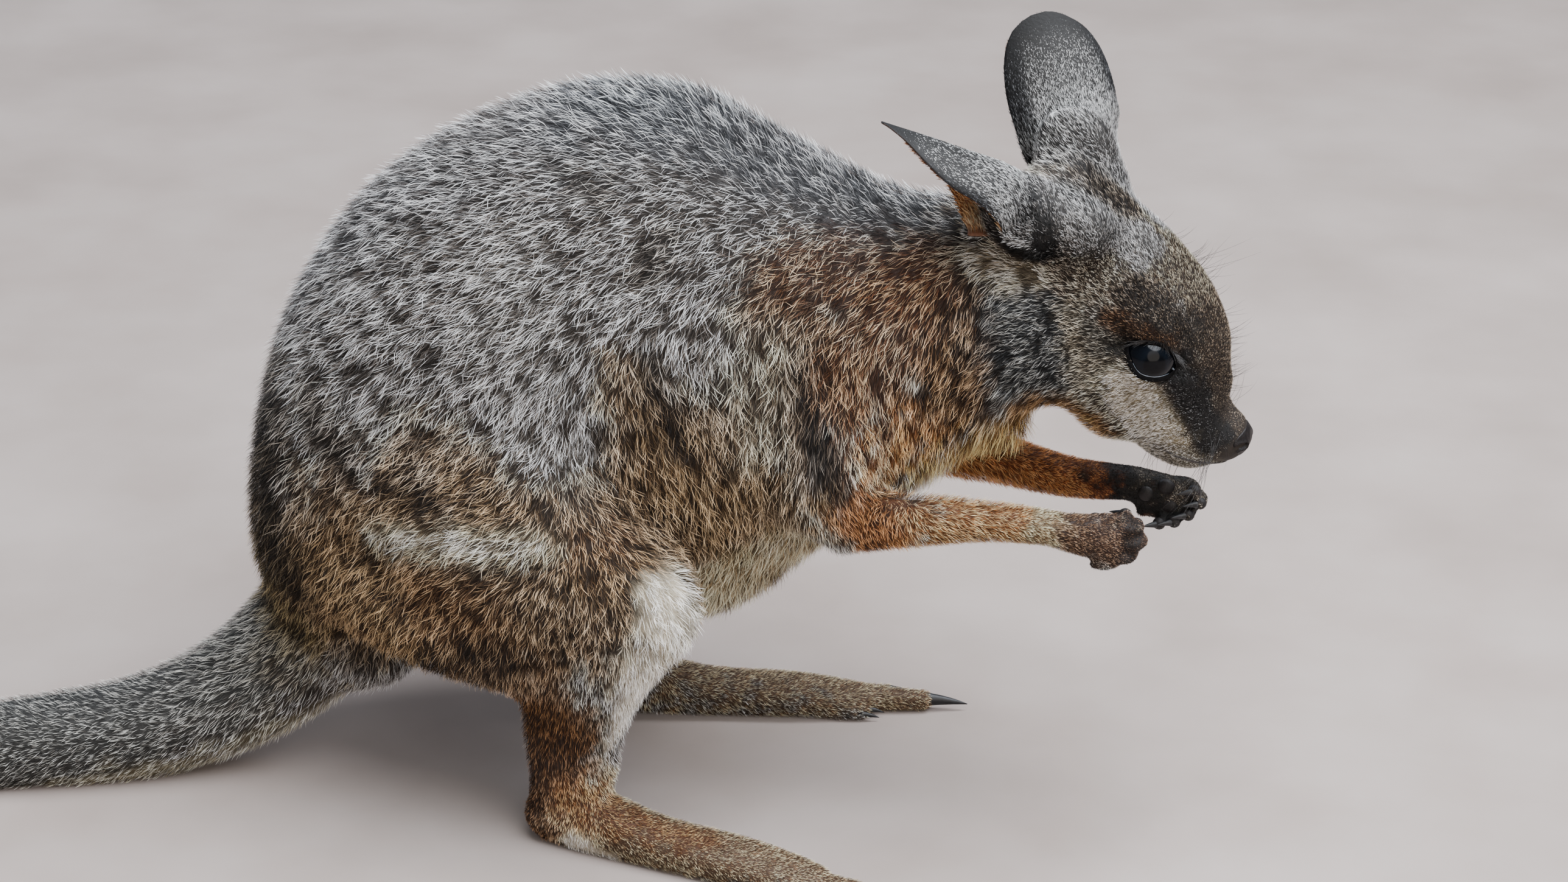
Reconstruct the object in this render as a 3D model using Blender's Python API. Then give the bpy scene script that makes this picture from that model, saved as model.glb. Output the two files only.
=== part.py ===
"""Tammar wallaby, life size, crouched on its hind feet and tail.

The animal faces +X, its left side is +Y, and the ground is z = 0.
Sizes below are in millimetres and take in the coat; MM turns them to metres.
"""
import math

import bmesh
import bpy
from mathutils import Matrix, Vector

MM = 0.001

# clearance between neighbouring pieces
GAP = 0.35

# head frame: origin between the eyes, x to the nose, y to the left, z to the crown
HEAD_ORIGIN = (147.0, 1.0, 217.0)
HEAD_ROLL, HEAD_PITCH, HEAD_YAW = 12.0, 40.0, 2.0

# station rows: x, y, z, half width, half thickness
TRUNK = [(-178, 0, 70, 39, 35), (-175, 0, 112, 59, 50), (-147, 0, 155, 71, 76),
         (-107, 0, 186, 75, 98), (-60, 0, 199, 72, 109), (-14, 0, 201, 64, 99),
         (24, 0, 206, 53, 79), (56, 0, 213, 43, 60), (88, 0, 224, 36, 46)]
BELLY = [(-120, 0, 108, 38, 34), (-70, 0, 106, 34, 35), (-34, 0, 110, 32, 31), (-2, 0, 132, 28, 26)]
THROAT = [(10, 0, 212, 30, 36), (84, 0, 227, 34, 44), (118, 0, 240, 29, 37)]
# head rows: x, z, half width, half depth, in the head frame
SKULL = [(-58, 5, 23, 28), (-44, 4, 26, 31), (-28, 0, 29.5, 35), (-10, -7, 31, 38), (8, -13, 27.5, 35.5),
         (24, -19, 20.5, 28), (41, -21.5, 16, 23.5), (50.5, -18, 12, 13)]
# rounded masses of the head: x, y, z, half sizes
CHEEK = (-14, 17, -24, 24, 14, 22)
BROW = (-4, 17, 10, 16, 8, 9)
EAR_ROOT = (-55, 19, 20, 16, 13, 15)
# eye centre offset from the midline and its radius
EYE_SIDE, EYE_RADIUS = 19.5, 10.3

# right leg rows, mirrored for the left; KNEE_SHIFT moves the left knee back
THIGH = [(-140, 40, 166, 34, 52), (-108, 54, 146, 34, 58), (-72, 66, 124, 30, 44), (-46, 68, 114, 24, 28)]
HAM = [(-160, 36, 120, 32, 40), (-132, 50, 106, 30, 34), (-98, 60, 96, 26, 28)]
SHANK = [(-52, 70, 112, 22, 28), (-68, 66, 86, 20, 27), (-76, 59, 56, 16, 23), (-77, 58, 30, 14, 19.5)]
KNEE_SHIFT = {"right": 0.0, "left": -18.0}
ANKLE_SHIFT = {"right": 0.0, "left": -2.0}
# foot: heel point, toe-out in degrees, then rows of distance, side offset, height, half width, half depth
HEEL = {"right": (-84, -58), "left": (-87, 54)}
TOE_OUT = {"right": 13.0, "left": 7.0}
SOLE = [(-4, 0, 13, 12, 13.5), (14, 0, 13, 12.5, 14), (45, 0, 9, 12.5, 10.5),
        (80, 0, 8, 13, 9), (102, 0, 6.5, 11.5, 7.5), (112, 0, 6, 9, 6.5)]
# toes: side offset at root and tip (outward is positive), distance of root and tip, height, radius
TOES = {"fourth": (1, 1, 96, 138, 6.0, 5.8), "fifth": (9, 11.5, 92, 122, 4.6, 4.2),
        "second": (-8.5, -10, 88, 112, 4.0, 2.8), "third": (-5.5, -6.2, 90, 114, 4.6, 2.8)}
TOE_CLAW = {"fourth": 20.0, "fifth": 14.0, "second": 8.0, "third": 8.0}

TAIL = [(-160, 0, 104, 37, 37), (-184, 0, 77, 33, 33), (-206, -6, 50, 29, 29.5), (-236, -18, 30, 25, 26),
        (-270, -31, 21, 22, 22.5), (-310, -44, 18.5, 19.5, 20), (-360, -58, 16, 17, 17.5),
        (-420, -66, 12, 13, 13.5), (-470, -66, 8, 9, 9.5)]

UPPER_ARM = {"right": [(18, -36, 188, 22, 30), (20, -42, 162, 19, 24), (32, -44, 146, 13, 15)],
             "left": [(18, 36, 186, 22, 30), (26, 42, 160, 18, 22), (46, 42, 142, 13, 14)]}
FOREARM = {"right": [(30, -44, 146, 12, 14), (60, -44, 149, 10.5, 11.5), (90, -42, 149.5, 8.4, 8.8),
                     (114, -40, 147, 7.4, 7.6)],
           "left": [(46, 42, 142, 12, 13), (84, 38, 138, 11, 11), (112, 34, 134.5, 9, 9.2),
                    (138, 31, 135, 7, 7.8)]}
PALM = {"right": [(114, -40, 146.5, 7.4, 8), (124, -38.5, 144.5, 6.5, 9.6), (133, -37, 142.5, 5.5, 9.6)],
        "left": [(138, 31, 135, 7, 8), (148, 29.5, 132.5, 6.2, 9.4), (156, 28.5, 131.5, 5.2, 9.2)]}
# digits from top to bottom: knuckle then tip, curled towards the midline of the body
DIGITS = {"right": [((136, -36, 150), (139, -27.5, 149)), ((140, -36, 146), (143, -27, 145)),
                    ((142, -35.5, 141), (144.5, -27, 140)), ((138, -36, 136.5), (141, -27.5, 136)),
                    ((132, -36, 133.5), (135.5, -28, 132.5))],
          "left": [((160, 29, 138.5), (163.5, 20.5, 138)), ((164.5, 28.5, 133.5), (166, 20, 133)),
                   ((160, 28, 127.5), (161.5, 20, 127.5)), ((154, 28, 124.5), (156, 20, 124)),
                   ((148, 28, 124), (150, 20.5, 122.5))]}
DIGIT_NAMES = ("first", "second", "third", "fourth", "fifth")
DIGIT_RADIUS = 3.0
HAND_CLAW = 7.5
# claws of the curled digits point back along the palm
HAND_CLAW_DIR = {"right": (-0.85, 0.45, -0.1), "left": (-0.85, -0.45, 0.05)}

# ears: root and tip of the spine, direction the back of the ear faces, bend of the spine
EARS = {"right": ((110, -19, 267), (43.5, -38, 310.5), (0.33, 0.30, 0.88), (0, 0, 3)),
        "left": ((118, 17, 270), (97.5, 36, 330.5), (0.20, -0.85, 0.45), (5, -3, 0))}
# how far each ear is opened out flat
EAR_OPEN = {"right": 1.0, "left": 1.35}
# along the ear: share of length, bending radius, half width of the flattened ear
EAR_FORM = [(0.0, 12, 27), (0.1, 13, 28), (0.25, 15.5, 28.5), (0.4, 18, 27.5), (0.55, 20.5, 25),
            (0.7, 22, 20.5), (0.82, 22, 15.5), (0.91, 22, 10.5), (0.97, 22, 6.5), (1.0, 22, 2.6)]
EAR_THICK_ROOT, EAR_THICK_TIP = 2.6, 1.6
EAR_SCALE = 0.95
EAR_STEPS = 8

# x-z outlines that part the pieces, anticlockwise seen from -y
ELBOW_X = {"right": 58, "left": 62}
WRIST_X = {"right": 114, "left": 137}
FOOT_CUT = [(-140, -5), (110, -5), (110, 26), (-140, 26)]
SHANK_CUT = [(-125, 20), (-8, 20), (-8, 110), (-125, 76)]
THIGH_CUT = [(-172, 70), (-5, 70), (-5, 130), (-60, 192), (-130, 206), (-172, 180)]
NECK_CUT = [(54, 310), (70, 150), (220, 150), (220, 310)]
# the same in the head frame
HEAD_CUT = [(-76, 90), (-72, 10), (-30, -74), (10, -64), (52, -48), (90, -33), (90, 90)]
NOSE_CUT = [(53, -27), (75, -27), (75, -4), (53, -4)]
# inner limits of the limb cuts: distance from the midline and how far that face leans
HAND_INNER, ARM_INNER, FOOT_INNER, SHANK_INNER, THIGH_INNER = 17, 38, 24, 34, 46
FOREARM_INNER = {"right": 31, "left": 28}
FOREARM_LEAN, ARM_LEAN, THIGH_LEAN = 0.10, 0.257, 0.163
# tail cut behind the rump, then the x of the two cuts along the tail and of the two across the trunk
TAIL_ROOT = ((-190, 0, 74), (0.70, 0, 0.71))
TAIL_TIP_X, TAIL_MIDDLE_X, CHEST_X, RUMP_X = -372, -284, -4, -112

# voxel and facet sizes
SOFT_VOXEL, FINE_VOXEL = 3.0, 1.5
SOFT_STEPS, FINE_STEPS = 16, 4
BODY_FACES = 3100
RING_SIDES, BALL_SIDES, EYE_SIDES = 24, 24, 16

COLOURS = {
    "coat": (0.20, 0.17, 0.15), "coat_pale": (0.42, 0.36, 0.29), "nose_skin": (0.02, 0.018, 0.018),
    "eye_black": (0.01, 0.008, 0.008), "claw_horn": (0.03, 0.03, 0.035),
}


def clear_scene():
    for thing in list(bpy.data.objects):
        bpy.data.objects.remove(thing, do_unlink=True)


def head_rotation():
    roll, pitch, yaw = (math.radians(v) for v in (HEAD_ROLL, HEAD_PITCH, HEAD_YAW))
    return (Matrix.Rotation(yaw, 3, "Z") @ Matrix.Rotation(pitch, 3, "Y") @ Matrix.Rotation(roll, 3, "X"))


HEAD_TURN = head_rotation()


def in_head(x, y, z):
    return Vector(HEAD_ORIGIN) + HEAD_TURN @ Vector((x, y, z))


def shape_object(name, bm):
    mesh = bpy.data.meshes.new(name)
    bmesh.ops.recalc_face_normals(bm, faces=bm.faces)
    bm.to_mesh(mesh)
    bm.free()
    thing = bpy.data.objects.new(name, mesh)
    bpy.context.collection.objects.link(thing)
    return thing


def drop(thing):
    bpy.data.objects.remove(thing, do_unlink=True)


def through(rows, per):
    """Catmull-Rom rows through the given stations."""
    first = [2 * a - b for a, b in zip(rows[0], rows[1])]
    last = [2 * a - b for a, b in zip(rows[-1], rows[-2])]
    knots = [first] + [list(r) for r in rows] + [last]
    out = []
    for i in range(len(rows) - 1):
        for j in range(per):
            t = j / per
            out.append([0.5 * (2 * b + (c - a) * t + (2 * a - 5 * b + 4 * c - d) * t * t
                               + (3 * b - a - 3 * c + d) * t ** 3)
                        for a, b, c, d in zip(*knots[i:i + 4])])
    out.append(list(rows[-1]))
    return out


def loft(name, rows, side=(0, 1, 0), per=5, domes=5, sides=RING_SIDES):
    """Closed tube of elliptical rings along the stations, with rounded ends."""
    rows = through(rows, per)
    side = Vector(side)
    centres = [Vector(r[:3]) for r in rows]
    rings = []
    for i, row in enumerate(rows):
        along = (centres[min(i + 1, len(rows) - 1)] - centres[max(i - 1, 0)]).normalized()
        across = (side - side.dot(along) * along).normalized()
        rings.append((centres[i], along, across, along.cross(across), row[3], row[4]))
    whole = []
    for end, sign in ((rings[0], -1), (rings[-1], 1)):
        c, along, across, up, a, b = end
        cap = []
        for j in range(1, domes):
            angle = j / domes * math.pi / 2
            cap.append((c + along * sign * math.sin(angle) * (a + b) / 2, along, across, up,
                        a * math.cos(angle), b * math.cos(angle)))
        pole = c + along * sign * (a + b) / 2
        whole.append((cap, pole))
    rings = whole[0][0][::-1] + rings + whole[1][0]
    bm = bmesh.new()
    loops = []
    for c, along, across, up, a, b in rings:
        loops.append([bm.verts.new(c + across * a * math.cos(q) + up * b * math.sin(q))
                      for q in (2 * math.pi * k / sides for k in range(sides))])
    for lower, upper in zip(loops, loops[1:]):
        for k in range(sides):
            m = (k + 1) % sides
            bm.faces.new((lower[k], lower[m], upper[m], upper[k]))
    for loop, pole in ((loops[0], whole[0][1]), (loops[-1], whole[1][1])):
        tip = bm.verts.new(pole)
        for k in range(sides):
            bm.faces.new((loop[k], loop[(k + 1) % sides], tip))
    return shape_object(name, bm)


def ball(name, centre, halves, sides=BALL_SIDES):
    """Ellipsoid lying along the head frame."""
    bm = bmesh.new()
    place = Matrix.Translation(Vector(centre)) @ HEAD_TURN.to_4x4()
    bmesh.ops.create_uvsphere(bm, u_segments=sides, v_segments=sides // 2, radius=1.0,
                              matrix=place @ Matrix.Diagonal((*halves, 1.0)))
    return shape_object(name, bm)


def settle(thing):
    """Replace the object's mesh by its modified mesh."""
    graph = bpy.context.evaluated_depsgraph_get()
    mesh = bpy.data.meshes.new_from_object(thing.evaluated_get(graph))
    thing.modifiers.clear()
    old, thing.data = thing.data, mesh
    bpy.data.meshes.remove(old)
    return thing


def fuse(name, things, voxel, steps):
    """One skin round all the given solids, softened where they meet."""
    bm = bmesh.new()
    for thing in things:
        bm.from_mesh(thing.data)
        drop(thing)
    whole = shape_object(name, bm)
    skin = whole.modifiers.new("skin", "REMESH")
    skin.mode = "VOXEL"
    skin.voxel_size = voxel
    soft = whole.modifiers.new("soften", "SMOOTH")
    soft.factor = 0.5
    soft.iterations = steps
    return settle(whole)


def boolean(thing, other, how, keep=False):
    cut = thing.modifiers.new("cut", "BOOLEAN")
    cut.operation = how
    cut.solver = "EXACT"
    cut.object = other
    other.hide_render = True
    other.display_type = "WIRE"
    settle(thing)
    if not keep:
        drop(other)
    return thing


def copy_of(thing, name):
    twin = bpy.data.objects.new(name, thing.data.copy())
    bpy.context.collection.objects.link(twin)
    return twin


def wedge(planes, grow=0.0, reach=700.0):
    """Convex cutter: the big box cut back by each plane (point, outward normal)."""
    bm = bmesh.new()
    bmesh.ops.create_cube(bm, size=2 * reach)
    for point, normal in planes:
        n = Vector(normal).normalized()
        parts = bm.verts[:] + bm.edges[:] + bm.faces[:]
        cut = bmesh.ops.bisect_plane(bm, geom=parts, plane_co=Vector(point) + n * grow, plane_no=n,
                                     clear_outer=True)
        edges = [e for e in cut["geom_cut"] if isinstance(e, bmesh.types.BMEdge)]
        bmesh.ops.edgeloop_fill(bm, edges=edges)
    return shape_object("wedge", bm)


def outline_planes(points, frame=None):
    """Planes of a convex outline in the x-z plane, listed anticlockwise seen from -y."""
    planes = []
    for (x0, z0), (x1, z1) in zip(points, points[1:] + points[:1]):
        point, normal = Vector((x0, 0, z0)), Vector((z1 - z0, 0, x0 - x1))
        if frame:
            point, normal = Vector(frame[0]) + frame[1] @ point, frame[1] @ normal
        planes.append((point, normal))
    return planes


def carve(body, name, planes):
    """Split off the part of the body inside the planes, leaving GAP between the two."""
    piece = boolean(copy_of(body, name), wedge(planes), "INTERSECT")
    boolean(body, wedge(planes, GAP), "DIFFERENCE")
    return piece


def finish_colour(thing, slot):
    shade = bpy.data.materials.new(f"{thing.name}_{slot}")
    shade.use_nodes = True
    base = shade.node_tree.nodes["Principled BSDF"]
    base.inputs["Base Color"].default_value = (*COLOURS[slot], 1.0)
    base.inputs["Roughness"].default_value = 0.15 if slot == "eye_black" else 0.7
    thing.data.materials.clear()
    thing.data.materials.append(shade)


def leg_rows(rows, side, shifts):
    sign = -1 if side == "right" else 1
    return [(x + s, sign * y, z, a, b) for (x, y, z, a, b), s in zip(rows, shifts)]


def on_foot(side, distance, offset, height):
    sign = -1 if side == "right" else 1
    turn = math.radians(TOE_OUT[side])
    ahead = Vector((math.cos(turn), sign * math.sin(turn), 0))
    out = Vector((-math.sin(turn), sign * math.cos(turn), 0))
    return Vector((*HEEL[side], height)) + ahead * distance + out * offset


def toe_rows(side, toe):
    root_side, tip_side, start, end, height, radius = TOES[toe]
    rows = []
    for share, swell in ((0.0, 0.95), (0.5, 1.0), (1.0, 0.85)):
        point = on_foot(side, start + share * (end - start), root_side + share * (tip_side - root_side),
                        height - share * 0.8)
        rows.append((*point, radius * swell, radius * swell))
    return rows


def claw(name, root, direction, length, radius, drop_by, sides=6, grow=0.0):
    """Curved tapering horn; grow thickens it all round, as a cutter for its seat."""
    root, direction = Vector(root), Vector(direction).normalized()
    down = Vector((0, 0, -1))
    rows = []
    for share in (0.0, 0.5, 1.0):
        point = root + direction * (length * share) + down * (drop_by * share * share)
        width = radius * (1 - 0.8 * share) + grow
        rows.append((*point, width, width * 1.25))
    side = direction.cross(Vector((0, 0, 1)))
    return loft(name, rows, side=side, per=1, domes=2, sides=sides)


def ear(side):
    """Cupped leaf: arcs of changing radius stacked from root to tip."""
    root, tip, facing, bend = (Vector(v) for v in EARS[side])
    axis = (tip - root).normalized()
    length = (tip - root).length
    back = (facing - facing.dot(axis) * axis).normalized()
    across = axis.cross(back)
    bm = bmesh.new()
    loops = []
    for share, radius, half in EAR_FORM:
        radius, half = radius * EAR_SCALE * EAR_OPEN[side], half * EAR_SCALE
        thick = EAR_THICK_ROOT + (EAR_THICK_TIP - EAR_THICK_ROOT) * share
        spine = root + axis * length * share + bend * 4 * share * (1 - share)
        swing = half / radius
        ring = []
        for r, order in ((radius, range(EAR_STEPS + 1)), (radius - thick, range(EAR_STEPS, -1, -1))):
            for k in order:
                angle = swing * (2 * k / EAR_STEPS - 1)
                ring.append(bm.verts.new(spine + across * r * math.sin(angle)
                                         + back * (r * math.cos(angle) - radius)))
        loops.append(ring)
    count = len(loops[0])
    for lower, upper in zip(loops, loops[1:]):
        for k in range(count):
            m = (k + 1) % count
            bm.faces.new((lower[k], lower[m], upper[m], upper[k]))
    # flat ends as strips between the outer and inner arcs
    for ring in (loops[0], loops[-1]):
        for k in range(EAR_STEPS):
            bm.faces.new((ring[k], ring[k + 1], ring[count - 2 - k], ring[count - 1 - k]))
    return shape_object(f"ear_{side}", bm)


def build_body():
    soft = [loft("trunk", TRUNK), loft("belly", BELLY), loft("throat", THROAT)]
    left = HEAD_TURN @ Vector((0, 1, 0))
    soft.append(loft("skull", [(*in_head(x, 0, z), a, b) for x, z, a, b in SKULL], side=left))
    for sign in (-1, 1):
        for mass in (CHEEK, BROW, EAR_ROOT):
            x, y, z, *halves = mass
            soft.append(ball("mass", in_head(x, sign * y, z), halves))
    for side in ("right", "left"):
        knee, ankle = KNEE_SHIFT[side], ANKLE_SHIFT[side]
        soft.append(loft("thigh", leg_rows(THIGH, side, (0, 0, knee / 2, knee))))
        soft.append(loft("ham", leg_rows(HAM, side, (0, 0, knee / 2))))
        soft.append(loft("shank", leg_rows(SHANK, side, (knee, knee / 2, ankle, ankle))))
        soft.append(loft("upper_arm", UPPER_ARM[side]))
    soft.append(loft("tail", TAIL))
    fine = [fuse("soft", soft, SOFT_VOXEL, SOFT_STEPS)]
    for side in ("right", "left"):
        fine.append(loft("foot", [(*on_foot(side, d, o, z), a, b) for d, o, z, a, b in SOLE]))
        for toe in TOES:
            fine.append(loft("toe", toe_rows(side, toe), sides=12))
        fine.append(loft("forearm", FOREARM[side]))
        fine.append(loft("palm", PALM[side]))
        for knuckle, tip in DIGITS[side]:
            middle = (Vector(knuckle) + Vector(tip)) / 2 + Vector((2.0, 0, 0))
            back = Vector(knuckle) - Vector((6.0, 0, 0))
            rows = [(*p, DIGIT_RADIUS, DIGIT_RADIUS) for p in (back, knuckle, middle, tip)]
            fine.append(loft("digit", rows, side=(0, 0, 1), per=3, domes=3, sides=12))
    body = fuse("body", fine, FINE_VOXEL, FINE_STEPS)
    thin = body.modifiers.new("thin", "DECIMATE")
    thin.ratio = BODY_FACES / (2 * len(body.data.polygons))
    settle(body)
    ground = wedge([((0, 0, 0), (0, 0, 1))])
    return boolean(body, ground, "DIFFERENCE")


def split_body(body):
    """Carve the body into head, neck, limbs, trunk and tail lengths, outermost first."""
    pieces = {}

    def take(name, planes):
        pieces[name] = carve(body, name, planes)

    for side, sign in (("right", -1), ("left", 1)):
        elbow, wrist = ELBOW_X[side], WRIST_X[side]

        def inner(distance, lean=0.0, z=0):
            return (0, sign * distance, z), (0, -sign, lean)

        take(f"hand_{side}", outline_planes([(wrist, 110), (190, 110), (190, 150), (wrist, 160)])
             + [inner(HAND_INNER)])
        take(f"forearm_{side}", outline_planes([(elbow, 110), (wrist, 110), (wrist, 161), (elbow, 161)])
             + [((elbow, sign * FOREARM_INNER[side], 0), (-FOREARM_LEAN, -sign, 0))])
        upper = [(-4, 118), (elbow, 118), (elbow, 165), (30, 200), (-4, 200)]
        take(f"upper_arm_{side}", outline_planes(upper) + [inner(ARM_INNER, ARM_LEAN, 190)])
        take(f"foot_{side}", outline_planes(FOOT_CUT) + [inner(FOOT_INNER)])
        take(f"shank_{side}", outline_planes(SHANK_CUT) + [inner(SHANK_INNER)])
        take(f"thigh_{side}", outline_planes(THIGH_CUT) + [inner(THIGH_INNER, THIGH_LEAN, 150)])
    take("head", outline_planes(HEAD_CUT, (HEAD_ORIGIN, HEAD_TURN)))
    take("neck", outline_planes(NECK_CUT))
    take("tail_tip", [TAIL_ROOT, ((TAIL_TIP_X, 0, 0), (1, 0, 0))])
    take("tail_middle", [TAIL_ROOT, ((TAIL_MIDDLE_X, 0, 0), (1, 0, 0))])
    take("tail_base", [TAIL_ROOT])
    take("chest", [((CHEST_X, 0, 0), (-1, 0, 0))])
    take("rump", [((RUMP_X, 0, 0), (1, 0, 0))])
    body.name = "loin"
    pieces["loin"] = body
    return pieces


def fit_claws(pieces):
    """Seat each claw in its toe or digit with GAP all round."""
    claws = {}
    for side in ("right", "left"):
        foot = pieces[f"foot_{side}"]
        ahead = on_foot(side, 1, 0, 0) - on_foot(side, 0, 0, 0)
        for toe, (_, tip_side, _, end, height, radius) in TOES.items():
            root = on_foot(side, end - 1, tip_side, height - 0.8)
            shape = (root, ahead, TOE_CLAW[toe], radius * 0.45, height * 0.35)
            boolean(foot, claw("seat", *shape, grow=GAP), "DIFFERENCE")
            claws[f"claw_foot_{toe}_{side}"] = claw(f"claw_foot_{toe}_{side}", *shape)
        hand = pieces[f"hand_{side}"]
        for digit, (_, tip) in zip(DIGIT_NAMES, DIGITS[side]):
            shape = (tip, HAND_CLAW_DIR[side], HAND_CLAW, 1.3, 0.4, 5)
            boolean(hand, claw("seat", *shape, grow=GAP), "DIFFERENCE")
            claws[f"claw_hand_{digit}_{side}"] = claw(f"claw_hand_{digit}_{side}", *shape)
    return claws


def fit_head_parts(pieces):
    """Eyes in their sockets, the bare nose, and the ears on their roots."""
    head = pieces["head"]
    for side, sign in (("right", -1), ("left", 1)):
        centre = in_head(0, sign * EYE_SIDE, 0)
        socket = ball("socket", centre, (EYE_RADIUS + GAP,) * 3, EYE_SIDES)
        boolean(head, socket, "DIFFERENCE")
        pieces[f"eye_{side}"] = ball(f"eye_{side}", centre, (EYE_RADIUS,) * 3, EYE_SIDES)
    pieces["nose"] = carve(head, "nose", outline_planes(NOSE_CUT, (HEAD_ORIGIN, HEAD_TURN)))
    pieces.update((f"ear_{side}", ear(side)) for side in ("right", "left"))
    for under in ("head", "neck"):
        swollen = copy_of(pieces[under], "swollen")
        spread = swollen.modifiers.new("spread", "DISPLACE")
        spread.strength = GAP
        spread.mid_level = 0.0
        settle(swollen)
        for side in ("right", "left"):
            boolean(pieces[f"ear_{side}"], swollen, "DIFFERENCE", keep=True)
        drop(swollen)


def main():
    clear_scene()
    pieces = split_body(build_body())
    claws = fit_claws(pieces)
    fit_head_parts(pieces)
    pieces.update(claws)
    scale = Matrix.Diagonal((MM, MM, MM, 1.0))
    for name, thing in pieces.items():
        thing.name = name
        thing.data.name = name
        thing.data.transform(scale)
        slot = "coat"
        if name.startswith("claw"):
            slot = "claw_horn"
        elif name.startswith("eye"):
            slot = "eye_black"
        elif name == "nose":
            slot = "nose_skin"
        finish_colour(thing, slot)
    low = [min(v.co[i] for t in pieces.values() for v in t.data.vertices) for i in range(3)]
    high = [max(v.co[i] for t in pieces.values() for v in t.data.vertices) for i in range(3)]
    shift = Matrix.Translation((-(low[0] + high[0]) / 2, -(low[1] + high[1]) / 2, -low[2]))
    for thing in pieces.values():
        thing.data.transform(shift)


main()
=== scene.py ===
import bpy
import numpy as np
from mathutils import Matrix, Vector


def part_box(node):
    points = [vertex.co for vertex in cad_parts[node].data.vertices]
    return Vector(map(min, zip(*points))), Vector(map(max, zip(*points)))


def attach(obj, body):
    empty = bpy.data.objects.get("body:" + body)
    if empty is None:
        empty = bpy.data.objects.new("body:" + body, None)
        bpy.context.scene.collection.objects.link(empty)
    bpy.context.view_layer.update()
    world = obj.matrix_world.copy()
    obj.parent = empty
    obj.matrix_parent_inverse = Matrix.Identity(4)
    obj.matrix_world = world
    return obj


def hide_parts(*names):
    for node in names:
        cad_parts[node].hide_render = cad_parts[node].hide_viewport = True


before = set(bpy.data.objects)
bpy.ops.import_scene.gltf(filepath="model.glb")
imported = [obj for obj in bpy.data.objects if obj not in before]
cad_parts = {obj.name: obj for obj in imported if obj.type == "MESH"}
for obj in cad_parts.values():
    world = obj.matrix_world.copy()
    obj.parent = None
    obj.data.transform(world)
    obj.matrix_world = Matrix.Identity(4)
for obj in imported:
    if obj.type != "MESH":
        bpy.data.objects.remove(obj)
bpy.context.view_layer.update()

# Tammar wallaby, life size, crouched on its hind feet and tail.
# Shapes are worked out in millimetres in the animal's own axes (x forward, y to its left,
# z up, ground at 0); makeMesh turns them to metres and sets them on the frame.
mm = 0.001
draw = np.random.default_rng(84)

# head axes: x to the nose, y to its left, z to the crown; turns in degrees
headPose = {"origin": (147.0, 1.0, 217.0), "roll": 12.0, "pitch": 40.0, "yaw": 2.0}
# place and size of each eyeball, and the turn of its opening in degrees
eyeBall = {"side": 19.5, "radius": 11.0, "gaze": 10.0, "rise": 20.0, "tilt": 15.0}


def turned(axis, degrees):
    # rotation matrix about one axis
    c, s = np.cos(np.radians(degrees)), np.sin(np.radians(degrees))
    i, j = [(1, 2), (2, 0), (0, 1)]["xyz".index(axis)]
    m = np.eye(3)
    m[i, i] = m[j, j] = c
    m[i, j], m[j, i] = -s, s
    return m


headTurn = turned("z", headPose["yaw"]) @ turned("y", headPose["pitch"]) @ turned("x", headPose["roll"])
headOrigin = np.array(headPose["origin"])


def inHead(points):
    # from the head's own axes to the body's
    return np.asarray(points, float) @ headTurn.T + headOrigin


def toHead(points):
    # and back from the body's axes to the head's
    return (points - headOrigin) @ headTurn


def eyeMiddle(sign):
    # middle of an eyeball in head axes; a sign is 1 on the left and -1 on the right
    return 0, sign * eyeBall["side"], 0


eyeBox = np.array(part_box("eye_right"))
shift = eyeBox.mean(axis=0) - inHead(eyeMiddle(-1)) * mm  # from these axes to the frame's


def unit(v):
    # each vector over its own length
    return v / np.maximum(np.linalg.norm(v, axis=-1, keepdims=True), 1e-9)


def onSurface(way, normal):
    # each direction without its part along the normal
    return way - (way * normal).sum(1, keepdims=True) * normal


def tilted(way, normal, angle):
    # a direction lying on the surface, raised off it by an angle
    return np.cos(angle)[:, None] * way + np.sin(angle)[:, None] * normal


def smooth(low, high, x):
    # 0 below low, 1 above high, with an S-shaped rise between them
    t = np.clip((x - low) / (high - low), 0, 1)
    return t * t * (3 - 2 * t)


def linear(code):
    # sRGB hex to linear colour
    c = np.array([int(code[i:i + 2], 16) / 255 for i in (1, 3, 5)])
    return np.where(c <= 0.04045, c / 12.92, ((c + 0.055) / 1.055) ** 2.4)


def makeMesh(name, points, *faceSets, material=None, place=True):
    # smooth-shaded object from points in millimetres and arrays of quads or triangles
    mesh = bpy.data.meshes.new(name)
    points = points * mm + shift if place else points
    mesh.vertices.add(len(points))
    mesh.vertices.foreach_set("co", points.astype(np.float32).ravel())
    loops = np.concatenate([f.ravel() for f in faceSets]).astype(np.int32)
    sizes = np.concatenate([np.full(len(f), f.shape[1]) for f in faceSets])
    mesh.loops.add(len(loops))
    mesh.loops.foreach_set("vertex_index", loops)
    mesh.polygons.add(len(sizes))
    mesh.polygons.foreach_set("loop_start", (np.cumsum(sizes) - sizes).astype(np.int32))
    mesh.update(calc_edges=True)
    mesh.shade_smooth()
    piece = bpy.data.objects.new(name, mesh)
    bpy.context.collection.objects.link(piece)
    if material:
        mesh.materials.append(material)
    return piece


# materials: one small function adds a node, another joins two
def newMaterial(name):
    material = bpy.data.materials.new(name)
    material.use_nodes = True
    return material, material.node_tree.nodes["Principled BSDF"]


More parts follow.
